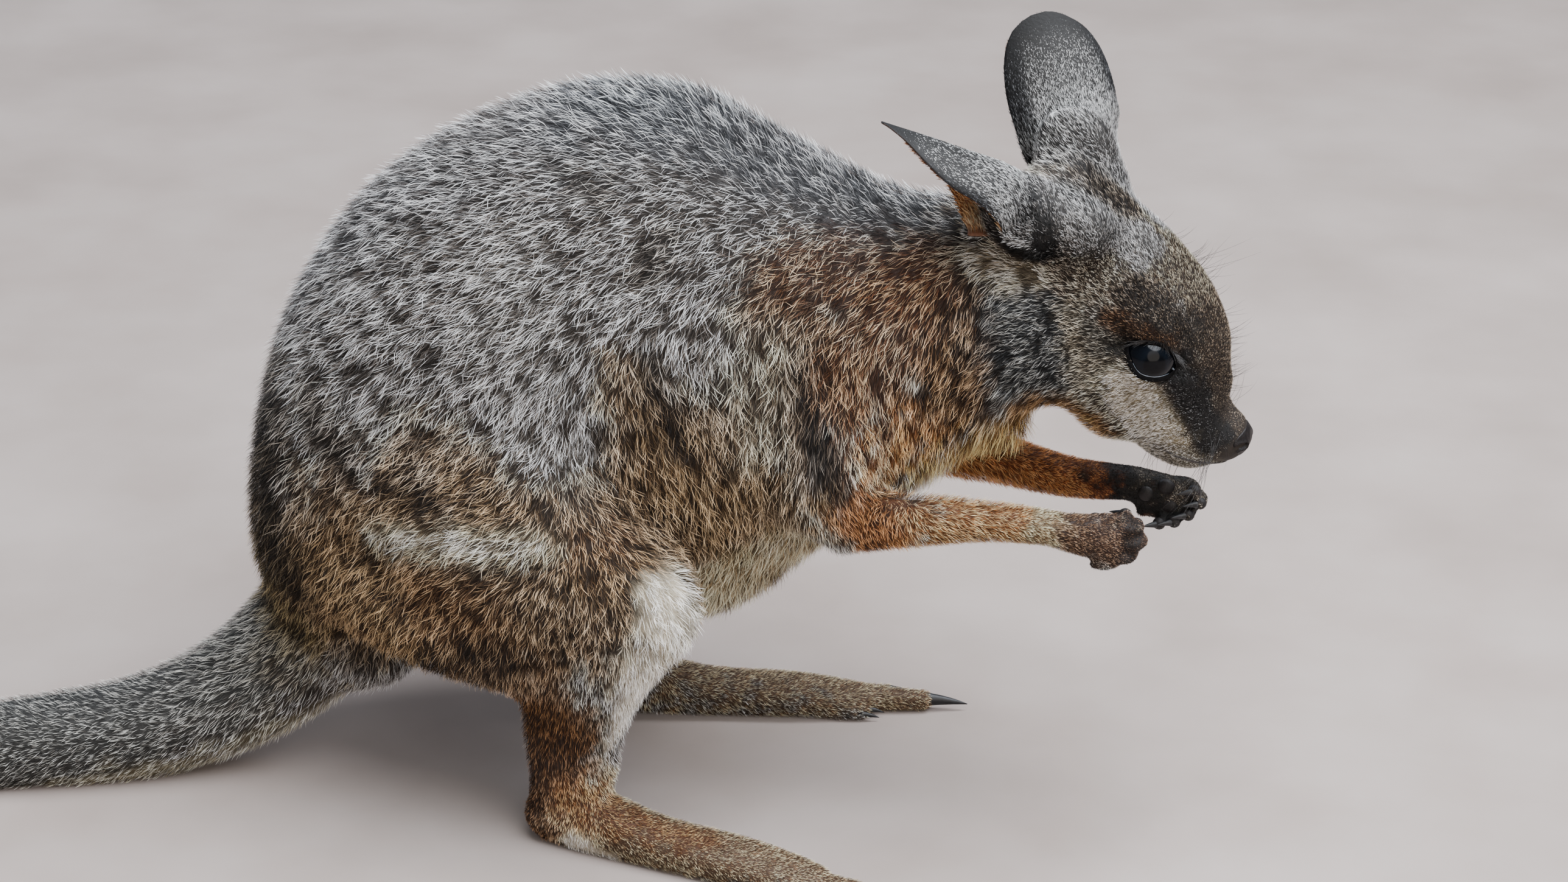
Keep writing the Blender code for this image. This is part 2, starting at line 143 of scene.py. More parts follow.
def addNode(material, kind, settings=None, links=None, stops=()):
    # one node with its settings; links maps an input to a value or to (node, output);
    # stops are the places and colours of a ramp
    node = material.node_tree.nodes.new(kind)
    for key, value in (settings or {}).items():
        setattr(node, key, value)
    for key, value in (links or {}).items():
        if isinstance(value, tuple) and isinstance(value[0], bpy.types.Node):
            material.node_tree.links.new(value[0].outputs[value[1]], node.inputs[key])
        else:
            node.inputs[key].default_value = value
    for index, (position, colour) in enumerate(stops):
        ramp = node.color_ramp.elements
        stop = ramp[index] if index < len(ramp) else ramp.new(position)
        stop.position, stop.color = position, colour
    return node


def joinTo(material, node, output, target, socket):
    # one node's output into another node's input
    material.node_tree.links.new(node.outputs[output], target.inputs[socket])


def setShader(shader, **values):
    # inputs by name, with _ in place of a space
    for key, value in values.items():
        shader.inputs[key.replace("_", " ")].default_value = value


def colour4(code):
    # sRGB hex to linear red, green, blue and full alpha
    return (*linear(code), 1.0)


# body form: each row of a tube is x, y, z, half width, half thickness
body = {
    "trunk": [(-178, 0, 70, 39, 35), (-175, 0, 112, 59, 50), (-147, 0, 155, 71, 76), (-107, 0, 186, 75, 98),
              (-60, 0, 199, 72, 109), (-14, 0, 201, 64, 99), (24, 0, 206, 53, 79), (56, 0, 213, 43, 60),
              (88, 0, 224, 36, 46)],
    "belly": [(-120, 0, 108, 38, 34), (-70, 0, 106, 34, 35), (-34, 0, 110, 32, 31), (-2, 0, 132, 28, 26)],
    "throat": [(10, 0, 212, 30, 36), (84, 0, 227, 34, 44), (118, 0, 240, 29, 37)],
    "tail": [(-160, 0, 104, 37, 37), (-184, 0, 77, 33, 33), (-206, -6, 50, 29, 29.5), (-236, -18, 30, 25, 26),
             (-270, -31, 21, 22, 22.5), (-310, -44, 18.5, 19.5, 20), (-360, -58, 16, 17, 17.5),
             (-420, -66, 12, 13, 13.5), (-470, -66, 8, 9, 9.5)],
    # head rows are x, z, half width, half depth in the head's own axes
    "skull": [(-58, 5, 23, 28), (-44, 4, 26, 31), (-28, 0, 29.5, 35), (-10, -7, 31, 38), (8, -13, 27.5, 35.5),
              (24, -19, 20.5, 28), (41, -21.5, 16, 23.5), (50.5, -18, 12, 13)],
    # rounded masses of the head: x, y, z, half sizes
    "masses": [(42.5, 7, -29.5, 12, 7, 9.5), (-14, 17, -24, 24, 14, 22), (5, 14, -32, 21, 10, 17.5),
               (-4, 17, 10, 16, 8, 9), (-55, 19, 20, 16, 13, 15)],
    # furred foot of each ear, the same way
    "earFeet": [(-75, -24, 14, 21, 16, 17), (-70, 22, 25, 18, 13, 18)],
    # soft bulge of long hair under the throat
    "throatHair": (85, 0, 176, 17, 15, 18),
}
leg = {
    "thigh": [(-140, 40, 166, 34, 52), (-108, 54, 146, 34, 58), (-72, 66, 124, 30, 44),
              (-46, 68, 114, 24, 28)],
    "ham": [(-160, 36, 120, 32, 40), (-132, 50, 106, 30, 34), (-98, 60, 96, 26, 28)],
    "shank": [(-52, 70, 112, 22, 28), (-68, 66, 86, 20, 27), (-76, 59, 56, 16, 23), (-77, 58, 32, 14, 19.5),
              (-80, 57.5, 19, 12.5, 17.5)],
    "kneeShift": {"right": 0.0, "left": -18.0}, "ankleShift": {"right": 0.0, "left": -2.0},
    "heel": {"right": (-84, -58), "left": (-87, 54)}, "toeOut": {"right": 13.0, "left": 7.0},
    # along the foot: distance, side offset, height, half width, half depth
    "sole": [(-3, 0, 12, 11, 12), (14, 0, 13, 12.5, 14), (45, 0, 9, 12.5, 10.5), (80, 0, 8, 13, 9),
             (102, 0, 6.5, 11.5, 7.5), (112, 0, 6, 9, 6.5)],
    # side offset at root and tip, distance of root and tip, height, radius, claw length
    "toes": {"fourth": (1, 1, 96, 138, 6.0, 5.8, 20), "fifth": (9, 11.5, 92, 122, 4.6, 4.2, 14),
             "second": (-8.5, -10, 88, 112, 4.0, 2.8, 8), "third": (-5.5, -6.2, 90, 114, 4.6, 2.8, 8)},
}
arm = {
    "upper": {"right": [(18, -36, 188, 22, 30), (20, -42, 162, 19, 24), (32, -44, 146, 13, 15)],
              "left": [(18, 36, 186, 22, 30), (26, 42, 160, 18, 22), (46, 42, 142, 13, 14)]},
    "fore": {"right": [(30, -44, 146, 12, 14), (60, -44, 149, 10.5, 11.5), (90, -42, 149.5, 8.4, 8.8),
                       (114, -40, 147, 7.4, 7.6)],
             "left": [(46, 42, 142, 12, 13), (84, 38, 138, 11, 11), (112, 34, 134.5, 9, 9.2),
                      (138, 31, 135, 7, 7.8)]},
    "palm": {"right": [(114, -40, 146.5, 7.4, 8), (124, -38.5, 144.5, 6.5, 9.6), (133, -37, 142.5, 5.5, 9.6)],
             "left": [(138, 31, 135, 7, 8), (148, 29.5, 132.5, 6.2, 9.4), (156, 28.5, 131.5, 5.2, 9.2)]},
    # knuckle and tip of each digit, from the first to the fifth
    "digits": {"right": [((136.5, -37, 152), (139, -27.5, 149.5)), ((142, -37, 147.5), (143.5, -27, 145.5)),
                         ((144.5, -36.5, 140.8), (144.5, -27, 140)), ((141, -37, 134.5), (141, -27.5, 135.5)),
                         ((134, -36.5, 131), (135.5, -28, 132))],
               "left": [((160, 29, 138.5), (163.5, 20.5, 138)), ((164.5, 28.5, 133.5), (166, 20, 133)),
                        ((160, 28, 127.5), (161.5, 20, 127.5)), ((154, 28, 124.5), (156, 20, 124)),
                        ((148, 28, 124), (150, 20.5, 122.5))]},
    "digitRadius": 2.75, "claw": 7.5,
    "clawDirection": {"right": (-0.85, 0.45, -0.1), "left": (-0.85, -0.45, 0.05)},
}
sides = {"right": -1, "left": 1}


def cubic(a, b, c, d, t):
    # Catmull-Rom: the cubic from b to c, with its slopes there set by a and d
    return 0.5 * (2 * b + (c - a) * t + (2 * a - 5 * b + 4 * c - d) * t ** 2
                  + (3 * b - a - 3 * c + d) * t ** 3)


def through(rows, per):
    # smooth curve through the rows, with so many points to each stretch
    rows = np.asarray(rows, float)
    knots = np.vstack([2 * rows[0] - rows[1], rows, 2 * rows[-1] - rows[-2]])
    t = (np.arange(per) / per)[:, None]
    inner = cubic(*(knots[i:len(rows) - 1 + i, None] for i in range(4)), t)
    return np.vstack([inner.reshape(-1, rows.shape[1]), rows[-1:]])


def ringFrames(centres, side):
    # tangent, sideways and upward direction at each point of a path
    along = unit(np.gradient(centres, axis=0))
    side = np.asarray(side, float)
    across = unit(side - (along @ side)[:, None] * along)
    return along, across, np.cross(along, across)


def gridFaces(rings, count):
    # quads between neighbouring rings of a closed tube
    k = np.arange(count)
    base = np.arange(rings - 1)[:, None] * count
    near, far = base + k, base + (k + 1) % count
    return np.stack([near, far, far + count, near + count], axis=-1).reshape(-1, 4)


def capFans(rings, count):
    # triangles from the first and the last ring to the two points that follow all rings
    k = np.arange(count)
    after, last, size = (k + 1) % count, (rings - 1) * count, rings * count
    return np.vstack([np.stack([after, k, np.full(count, size)], 1),
                      np.stack([last + k, last + after, np.full(count, size + 1)], 1)])


def tube(rows, side=(0, 1, 0), per=5, domes=5, count=24):
    # ellipses carried along the path through the rows; each end closed by a rounded dome
    rows = through(rows, per)
    centres = rows[:, :3]
    along, across, up = ringFrames(centres, side)
    q = np.arange(1, domes) / domes * np.pi / 2
    sections = []
    for end, sign, order in ((0, -1, slice(None, None, -1)), (-1, 1, slice(None))):
        a, b = rows[end, 3:5]
        c = centres[end] + along[end] * sign * np.sin(q)[:, None] * (a + b) / 2
        sections.append((c[order], (a * np.cos(q))[order], (b * np.cos(q))[order],
                         centres[end] + along[end] * sign * (a + b) / 2))
    (c0, a0, b0, pole0), (c1, a1, b1, pole1) = sections
    c = np.vstack([c0, centres, c1])
    a = np.concatenate([a0, rows[:, 3], a1])[:, None, None]
    b = np.concatenate([b0, rows[:, 4], b1])[:, None, None]
    across, up = (np.vstack([np.repeat(v[:1], len(c0), 0), v, np.repeat(v[-1:], len(c1), 0)])
                  for v in (across, up))
    turn = 2 * np.pi * np.arange(count) / count
    ring = (c[:, None] + across[:, None] * a * np.cos(turn)[None, :, None]
            + up[:, None] * b * np.sin(turn)[None, :, None])
    points = np.vstack([ring.reshape(-1, 3), pole0, pole1])
    return points, gridFaces(len(c), count), capFans(len(c), count)


def ball(centre, halves, count=24):
    # ellipsoid in the head's axes: the unit sphere times its three half sizes
    lat = np.linspace(-np.pi / 2, np.pi / 2, count // 2 + 1)[1:-1]
    turn = 2 * np.pi * np.arange(count) / count
    ring = np.stack([np.cos(lat)[:, None] * np.cos(turn), np.cos(lat)[:, None] * np.sin(turn),
                     np.repeat(np.sin(lat)[:, None], count, 1)], -1).reshape(-1, 3)
    points = np.vstack([ring, (0, 0, -1), (0, 0, 1)]) * halves @ headTurn.T + centre
    return points, gridFaces(len(lat), count), capFans(len(lat), count)


def together(shapes):
    # several (points, quads, triangles) as one
    points, quads, triangles, first = [], [], [], 0
    for p, q, t in shapes:
        points.append(p)
        quads.append(q + first)
        triangles.append(t + first)
        first += len(p)
    return np.vstack(points), np.vstack(quads), np.vstack(triangles)


def legRows(rows, side, shifts):
    # rows of one leg: shifted forward, and mirrored for the right side
    rows = np.asarray(rows, float).copy()
    rows[:, 0] += shifts
    rows[:, 1] *= sides[side]
    return rows


def onFoot(side, distance, offset, height):
    # place on a foot: so far ahead of the heel, so far outwards, so high
    turn = np.radians(leg["toeOut"][side])
    sign = sides[side]
    ahead = np.array([np.cos(turn), sign * np.sin(turn), 0])
    out = np.array([-np.sin(turn), sign * np.cos(turn), 0])
    return np.array([*leg["heel"][side], height]) + ahead * distance + out * offset


def softForms():
    # the large forms, which flow into each other
    left = headTurn @ (0, 1, 0)
    skull = [(*inHead((x, 0, z)), a, b) for x, z, a, b in body["skull"]]
    forms = [tube(body[name]) for name in ("trunk", "belly", "throat", "tail")] + [tube(skull, side=left)]
    for sign in (-1, 1):
        forms += [ball(inHead((x, sign * y, z)), halves) for x, y, z, *halves in body["masses"]]
    forms += [ball(inHead((x, y, z)), halves) for x, y, z, *halves in body["earFeet"]]
    forms.append(ball(body["throatHair"][:3], body["throatHair"][3:]))
    for side in sides:
        knee, ankle = leg["kneeShift"][side], leg["ankleShift"][side]
        forms += [tube(legRows(leg["thigh"], side, (0, 0, knee / 2, knee))),
                  tube(legRows(leg["ham"], side, (0, 0, knee / 2))),
                  tube(legRows(leg["shank"], side, (knee, knee / 2, ankle, ankle, ankle))),
                  tube(arm["upper"][side])]
    return forms


def fineForms():
    # feet, toes, forearms, hands and digits
    forms = []
    for side in sides:
        forms.append(tube([(*onFoot(side, d, o, z), a, b) for d, o, z, a, b in leg["sole"]]))
        for root, tip, start, end, height, radius, _ in leg["toes"].values():
            rows = [(*onFoot(side, start + s * (end - start), root + s * (tip - root), height - s * 0.8),
                     radius * swell, radius * swell) for s, swell in ((0, 0.95), (0.5, 1.0), (1, 0.85))]
            forms.append(tube(rows, count=12))
        forms += [tube(arm["fore"][side]), tube(arm["palm"][side])]
        for knuckle, tip in np.array(arm["digits"][side]):
            path = (knuckle - (6, 0, 0), knuckle, (knuckle + tip) / 2 + (2, 0, 0), tip)
            r = arm["digitRadius"]
            forms.append(tube([(*p, r, r) for p in path], side=(0, 0, 1), per=3, domes=3, count=12))
    return forms


def remeshed(shape, voxel, steps):
    # one closed skin round overlapping closed forms, softened where they meet
    work = makeMesh("work", *shape, place=False)
    skin = work.modifiers.new("skin", "REMESH")
    skin.mode, skin.voxel_size = "VOXEL", voxel
    soft = work.modifiers.new("soften", "SMOOTH")
    soft.factor, soft.iterations = 0.5, steps
    points, quads, _ = readMesh(work)
    bpy.data.objects.remove(work, do_unlink=True)
    return points, quads, np.zeros((0, 3), int)


def readMesh(thing):
    # points, faces of one size and normals of a piece with its modifiers
    mesh = thing.evaluated_get(bpy.context.evaluated_depsgraph_get()).to_mesh()
    points = np.empty(len(mesh.vertices) * 3, np.float32)
    mesh.vertices.foreach_get("co", points)
    normals = np.empty(len(mesh.vertices) * 3, np.float32)
    mesh.vertex_normals.foreach_get("vector", normals)
    loops = np.empty(len(mesh.loops), np.int32)
    mesh.loops.foreach_get("vertex_index", loops)
    width = len(loops) // len(mesh.polygons)
    return points.reshape(-1, 3).astype(float), loops.reshape(-1, width), normals.reshape(-1, 3).astype(float)


# lie and length of the coat: each guide is a place, the way the hair points there and its length;
# y is the distance from the midline, outward positive, so every guide serves both sides
bodyLie = np.array([
    (60, 0, 268, -1, 0, 0.2, 12), (0, 0, 290, -1, 0, 0.25, 14), (-60, 0, 307, -1, 0, -0.05, 15),
    (-120, 0, 292, -0.85, 0, -0.5, 16), (-165, 0, 255, -0.55, 0, -0.85, 16), (-200, 0, 177, -0.15, 0, -1, 16),
    (-204, 30, 140, -0.1, 0, -1, 16), (-100, 60, 265, -0.8, 0.1, -0.55, 15),
    (-45, 54, 265, -0.8, 0.1, -0.5, 14), (10, 45, 255, -0.8, 0.1, -0.5, 13),
    (-170, 60, 190, -0.6, 0, -0.8, 16), (-97, 72, 226, -0.75, 0, -0.65, 14),
    (-97, 78, 190, -0.5, 0, -0.85, 13), (-60, 82, 180, 0.1, 0, -1, 13), (-30, 66, 190, 0.35, 0, -0.95, 14),
    (-25, 60, 150, 0.35, -0.1, -0.95, 16), (0, 60, 205, -0.2, 0, -1, 15), (-38, 85, 135, 0.3, 0, -0.95, 12),
    (-110, 85, 145, -0.85, 0, -0.5, 13), (-150, 60, 110, -0.4, 0, -0.9, 14),
    (-75, 85, 110, -0.05, 0, -1, 10), (-77, 72, 60, 0, 0, -1, 7), (-82, 68, 30, 0.3, 0, -1, 5),
    (-90, 60, 14, 0, 0.1, -1, 3.5), (-40, 72, 15, 1, 0.1, -0.2, 4), (10, 78, 12, 1, 0.15, -0.1, 3.6),
    (60, 84, 8, 1, 0.2, -0.1, 3), (-70, 40, 70, 0.2, 0, -1, 8), (-60, 20, 78, -1, 0, -0.2, 18),
    (0, 30, 125, -0.4, 0.1, -1, 19), (40, 12, 150, -0.1, 0, -1, 15), (12, 58, 206, -0.15, 0, -1, 15),
    (36, 45, 245, -0.75, 0, -0.65, 13), (47, 46, 190, -0.12, 0, -1, 13), (44, 48, 160, 0.0, 0, -1, 11),
    (40, 55, 143, 0.6, 0, -0.7, 8), (75, 48, 149, 1, 0, -0.2, 6), (110, 42, 147, 1, 0, -0.1, 3.6),
    (130, 38, 145, 1, 0, -0.1, 2.2), (142, 32, 142, 0.5, -0.6, -0.2, 1.6),
    (160, 28, 130, 0.5, -0.6, -0.2, 1.6), (76, 40, 235, -0.2, 0, -1, 13),
    (60, 28, 262, -0.8, 0.2, -0.55, 12), (95, 8, 180, -0.2, 0, -1, 22), (75, 10, 158, -0.1, 0, -1, 22)])
tailLie = np.array([
    (-200, 0, 100, -0.3, 0, -1, 14), (-230, -18, 45, -0.75, -0.25, -0.5, 9.5),
    (-270, -31, 22, -0.95, -0.3, -0.1, 7), (-330, -50, 18, -0.95, -0.25, 0, 6.4),
    (-420, -66, 12, -1, 0, 0, 6), (-470, -66, 8, -1, 0, 0, 6)])
headLie = np.array([
    (48, 0, -10, -1, 0, 0.4, 1.5), (25, 0, 14, -0.85, 0, 0.5, 2.4), (0, 0, 28, -0.95, 0, 0.3, 3.8),
    (-35, 0, 33, -1, 0, 0, 5), (-60, 0, 28, -1, 0, -0.2, 7), (42, 12, -20, -1, 0.3, -0.2, 1.8),
    (22, 19, 0, -0.95, 0.3, 0.05, 2.4), (46, 10, -30, -0.8, 0.2, -0.6, 2),
    (15, 22, -17, -0.8, 0.2, -0.6, 3.6), (3, 28, -14, -0.8, 0.1, -0.6, 4.2),
    (-15, 31, -20, -0.75, 0, -0.65, 5.5), (-20, 30, -5, -1, 0, -0.25, 4.8),
    (18, 13, -39, -0.75, 0, -0.65, 5.5), (-15, 20, -45, -0.75, 0, -0.65, 8),
    (-40, 35, -15, -0.75, 0, -0.65, 7.5), (-5, 26, 13, -0.9, 0.1, 0.3, 3.2), (8, 22, 16, -0.8, 0, 0.6, 2.8),
    (-28, 27, 18, -1, 0, 0.1, 4.6), (-50, 28, 22, -0.9, 0.1, 0.3, 5), (-70, 30, 26, -0.93, 0.1, 0.35, 4.6),
    (-78, 36, 14, -0.95, 0.1, 0.1, 4.8), (40, 0, -38, -1, 0, -0.3, 3.5), (10, 0, -45, -1, 0, -0.35, 9),
    (-24, 16, -56, -0.4, 0, -1, 18), (-45, 10, -50, -0.5, 0, -1, 18)])


def allGuides():
    # place, direction and length in body axes, both sides
    rows = [tailLie]
    for table, head in ((bodyLie, False), (headLie, True)):
        for sign in (-1, 1):
            r = table.copy()
            r[:, [1, 4]] *= sign
            if head:
                r[:, :3], r[:, 3:6] = inHead(r[:, :3]), r[:, 3:6] @ headTurn.T
            rows.append(r)
    return np.vstack(rows)


lieBlend = {"soften": 60.0, "fall": 2.2}  # squared millimetres, power of the squared distance


def lieAt(points, normals):
    # mean direction and length of the guides, each weighted by its squared distance to a negative power
    rows = allGuides()
    way, length = np.empty_like(points), np.empty(len(points))
    for start in range(0, len(points), 20000):
        part = slice(start, start + 20000)
        gap = ((points[part, None] - rows[None, :, :3]) ** 2).sum(-1) + lieBlend["soften"]
        weight = gap ** -lieBlend["fall"]
        weight /= weight.sum(1, keepdims=True)
        way[part] = weight @ unit(rows[:, 3:6])
        length[part] = weight @ rows[:, 6]
    return unit(onSurface(way, normals)), length


# coat colours: at the root, halfway and at the tip of a hair, and the share of bright-tipped hairs
coatColours = {
    # the blue-grey back coat after grizzle is grey coat with a painted cool sheen of sky light on its top
    "grizzle": ("#0d0b0a", "#5a5048", "#e6e0d8", 0.37), "backGreyAndSkySheen": ("#08090b", "#42464d", "#ced3da", 0.33),
    "slate": ("#0a0b0c", "#4c4e52", "#d6d8da", 0.35), "brownGrizzle": ("#0d0805", "#594128", "#cbab80", 0.30),
    # the near-black brown before rufous is painted shade, for the rump's rear edge and the underside of the
    # haunch
    "paintedShadeBrown": ("#050403", "#1f1a14", "#5e5446", 0.14), "rufous": ("#0e0603", "#6c3b1a", "#deac7b", 0.25),
    "neckTawny": ("#080402", "#50341b", "#c29c6e", 0.15),
    "orangeTan": ("#261006", "#935526", "#e6b179", 0.42),
    "elbowOrange": ("#200e05", "#633819", "#b37c4c", 0.22),
    "foreTawny": ("#3b1f0d", "#ad6d3a", "#f0c396", 0.46),
    "wristPale": ("#3a2a1a", "#a58862", "#e9d8ba", 0.50),
    "handBrown": ("#0e0706", "#543728", "#a98a6d", 0.28),
    "handDark": ("#040202", "#1d120d", "#574236", 0.14),
    "bellyCream": ("#4a3a25", "#b79c72", "#eedcb9", 0.48),
    "paleGrizzle": ("#100e0c", "#746b62", "#f6f2ec", 0.5),
    # the near-black hand coat that starts this line is partly the far hand's own dark colour and partly
    # painted shade
    "farHandBlackAndShade": ("#010101", "#040405", "#0d0d0f", 0.06), "farFore": ("#2a1206", "#b4602a", "#eaa466", 0.5),
    "cream": ("#c4b8a0", "#ece3cf", "#fffaf0", 0.75), "throatCream": ("#4a2d12", "#a87b42", "#e2c288", 0.42),
    # the near-black coat after paleFlank is painted shade, for folds, creases, hollows and the gaps between
    # locks
    "paleFlank": ("#15110d", "#74634f", "#e2d5c0", 0.40), "paintedCreaseShade": ("#040303", "#14100d", "#5c5145", 0.10),
    "oliveTan": ("#120c07", "#694f33", "#cfb28a", 0.34),
    "creamBand": ("#2a2319", "#a3937a", "#f1e7d2", 0.60),
    "shankBrown": ("#140a05", "#5e4027", "#c6a27a", 0.30),
    "ankleRufous": ("#120701", "#482a10", "#96683a", 0.18),
    "footGrizzle": ("#211610", "#967152", "#e8cba8", 0.47),
    "toeDark": ("#0a0806", "#33291f", "#8d7d66", 0.22), "tailGrey": ("#0f0f0e", "#525250", "#cbcac4", 0.36),
    "tailUnder": ("#5c5340", "#b4a786", "#efe6ca", 0.55),
    "tailOlive": ("#0c0906", "#4a3d26", "#b0a074", 0.24),
    "headGrizzle": ("#090706", "#544537", "#d8ccb9", 0.34),
    "foreheadBrown": ("#080504", "#4e3a2b", "#dccbb2", 0.36),
    "silver": ("#0c0b0b", "#6b6865", "#f2f0ed", 0.50), "browRufous": ("#0c0603", "#452a18", "#8f6b4a", 0.20),
    "browDark": ("#050303", "#1d1712", "#8f8273", 0.16),
    "cheekSlate": ("#0a0b0c", "#393c3f", "#a8a8a4", 0.28),
    "cheekGrey": ("#1b1814", "#6b6252", "#d2c9b5", 0.38),
    "cheekCream": ("#74684f", "#cbbd9d", "#fff9ea", 0.8),
    "muzzleBlack": ("#040506", "#101216", "#85878b", 0.14),
    "lipPale": ("#3a352c", "#a0957f", "#f0e6d2", 0.50), "jawTawny": ("#1a1008", "#6d4b2c", "#c9a273", 0.26),
    "rimBlack": ("#030303", "#0a0a0b", "#222224", 0.05), "bridge": ("#0a0706", "#453629", "#c4b29c", 0.26),
    "earBack": ("#0d0d0e", "#484746", "#d0d1d1", 0.36), "earPatch": ("#030303", "#131213", "#8f8f8f", 0.14),
    "earRim": ("#0b0b0d", "#1b1c20", "#43464c", 0.15), "earBuff": ("#4a2410", "#aa6434", "#e6b181", 0.38),
}
# strokes: colour, start, end, reach, strength; y is the distance from the midline as above. The near-black
# strokes on the rump's rear edge and under the haunch, and the thin near-black strokes in the folds of thigh
# and groin, behind the arm, down the neck, on the shank and in gaps between locks on the back, are painted
# shade
bodyStrokes = [
    # along the top of the back: grey coat with a painted cool sky sheen
    ("backGreyAndSkySheen", (100, 0, 275), (-60, 0, 305), 44, 0.8), ("backGreyAndSkySheen", (-60, 0, 305), (-190, 0, 240), 50, 0.4),
    ("brownGrizzle", (-150, 70, 120), (-40, 75, 150), 60, 0.85),
    ("brownGrizzle", (-190, 30, 110), (-150, 60, 95), 44, 0.9),
    ("brownGrizzle", (10, 50, 215), (-20, 60, 180), 40, 0.65),
    ("brownGrizzle", (-130, 70, 175), (-100, 80, 165), 26, 0.45),
    ("paleGrizzle", (-99, 62, 249), (-79, 74, 190), 24, 0.8),
    ("paleGrizzle", (-50, 60, 236), (-20, 58, 222), 18, 0.5),
    # painted shade on the rump's rear edge, which faces away from the light
    ("paintedShadeBrown", (-210, 32, 184), (-205, 40, 118), 25, 0.78),
    ("paintedShadeBrown", (-205, 36, 150), (-190, 44, 110), 22, 0.55),
    # thin near-black strokes here and further on: painted shade in folds, hollows and gaps between locks
    ("paintedCreaseShade", (-182, 56, 196), (-160, 68, 168), 11, 0.7),
    ("paintedCreaseShade", (-160, 70, 166), (-118, 84, 163), 9, 0.75),
    ("paintedCreaseShade", (-140, 74, 186), (-128, 76, 178), 7, 0.5), ("slate", (95, 0, 272), (40, 0, 288), 30, 0.6),
    ("paintedCreaseShade", (-34, 52, 269), (-42, 58, 255), 8, 0.75), ("paintedCreaseShade", (-84, 38, 290), (-60, 46, 279), 6, 0.5),
    ("paintedCreaseShade", (-8, 54, 258), (4, 52, 240), 6, 0.5), ("rufous", (62, 34, 250), (14, 46, 250), 22, 0.62),
    ("rufous", (60, 40, 238), (34, 50, 205), 25, 0.68), ("neckTawny", (92, 38, 240), (66, 42, 186), 27, 0.9),
    ("orangeTan", (56, 48, 180), (44, 54, 158), 24, 0.85), ("paintedCreaseShade", (66, 40, 226), (60, 44, 196), 5, 0.6),
    ("paintedCreaseShade", (86, 36, 236), (80, 38, 206), 6, 0.6),
    ("elbowOrange", (36, 56, 158), (46, 52, 144), 12.5, 0.85),
    ("foreTawny", (72, 46, 150), (104, 44, 149), 17, 0.95),
    ("orangeTan", (52, 48, 141), (92, 42, 141), 7, 0.7),
    ("wristPale", (108, 42, 149), (119, 41, 149), 10, 0.9),
    ("throatCream", (112, 8, 180), (70, 14, 158), 27, 0.95), ("cream", (60, 0, 150), (20, 0, 130), 22, 0.8),
    ("paleFlank", (6, 60, 218), (0, 62, 182), 16, 0.85), ("paintedCreaseShade", (16, 54, 216), (27, 58, 166), 9, 0.95),
    ("paintedCreaseShade", (-2, 60, 196), (2, 60, 168), 5, 0.5), ("oliveTan", (-52, 68, 214), (-26, 62, 160), 14, 0.75),
    ("paintedCreaseShade", (-45, 67, 226), (-22, 62, 164), 6, 0.85),
    ("oliveTan", (5, 50, 160), (-15, 50, 140), 22, 0.7),
    ("bellyCream", (10, 25, 128), (-60, 25, 80), 26, 0.9),
    ("creamBand", (-152, 74, 140), (-76, 92, 150), 9, 0.95),
    ("shankBrown", (-120, 86, 116), (-78, 84, 62), 26, 0.75),
    ("paintedCreaseShade", (-116, 88, 134), (-88, 92, 140), 5, 0.75),
    # painted shade under the haunch
    ("paintedShadeBrown", (-172, 40, 66), (-98, 86, 96), 13, 0.55),
    ("rufous", (-62, 88, 148), (-34, 80, 146), 13, 0.35),
    ("ankleRufous", (-82, 72, 62), (-90, 66, 14), 22, 0.9),
    ("paintedCreaseShade", (-82, 86, 88), (-82, 80, 64), 4, 0.5),
    ("brownGrizzle", (-62, 90, 140), (-36, 74, 138), 12, 0.6),
    ("cream", (-32, 79, 126), (-50, 73, 42), 14.5, 1.0), ("cream", (-70, 42, 100), (-72, 44, 40), 18, 0.8),
    ("footGrizzle", (-62, 68, 18), (45, 78, 10), 27, 0.95),
    ("orangeTan", (-74, 72, 26), (-24, 78, 22), 13, 0.7), ("cream", (-72, 66, 4), (-58, 64, 3), 9, 0.85),
    ("toeDark", (60, 84, 8), (120, 90, 6), 16, 0.85)]
tailStrokes = [
    ("tailOlive", (-196, -14, 90), (-226, -16, 52), 34, 0.8),
    ("tailGrey", (-236, -18, 50), (-300, -44, 24), 40, 0.9),
    ("tailGrey", (-300, -44, 24), (-480, -66, 8), 46, 0.9),
    ("tailUnder", (-182, -4, 30), (-290, -40, -2), 17, 0.9),
    ("tailUnder", (-290, -40, -2), (-470, -66, -4), 12, 0.7),
    ("handBrown", (126, -40, 146), (146, -30, 142), 15, 0.95),
    ("handDark", (143, -35, 150), (143, -35, 133), 7, 0.9),
    ("farFore", (56, 42, 142), (138, 31, 134), 24, 0.95),
    ("ankleRufous", (60, 36, 150), (128, 28, 144), 8, 0.6),
    # far hand: its own dark coat, deepened with painted shade
    ("farHandBlackAndShade", (140, 31, 134), (168, 24, 130), 19, 1.0)]
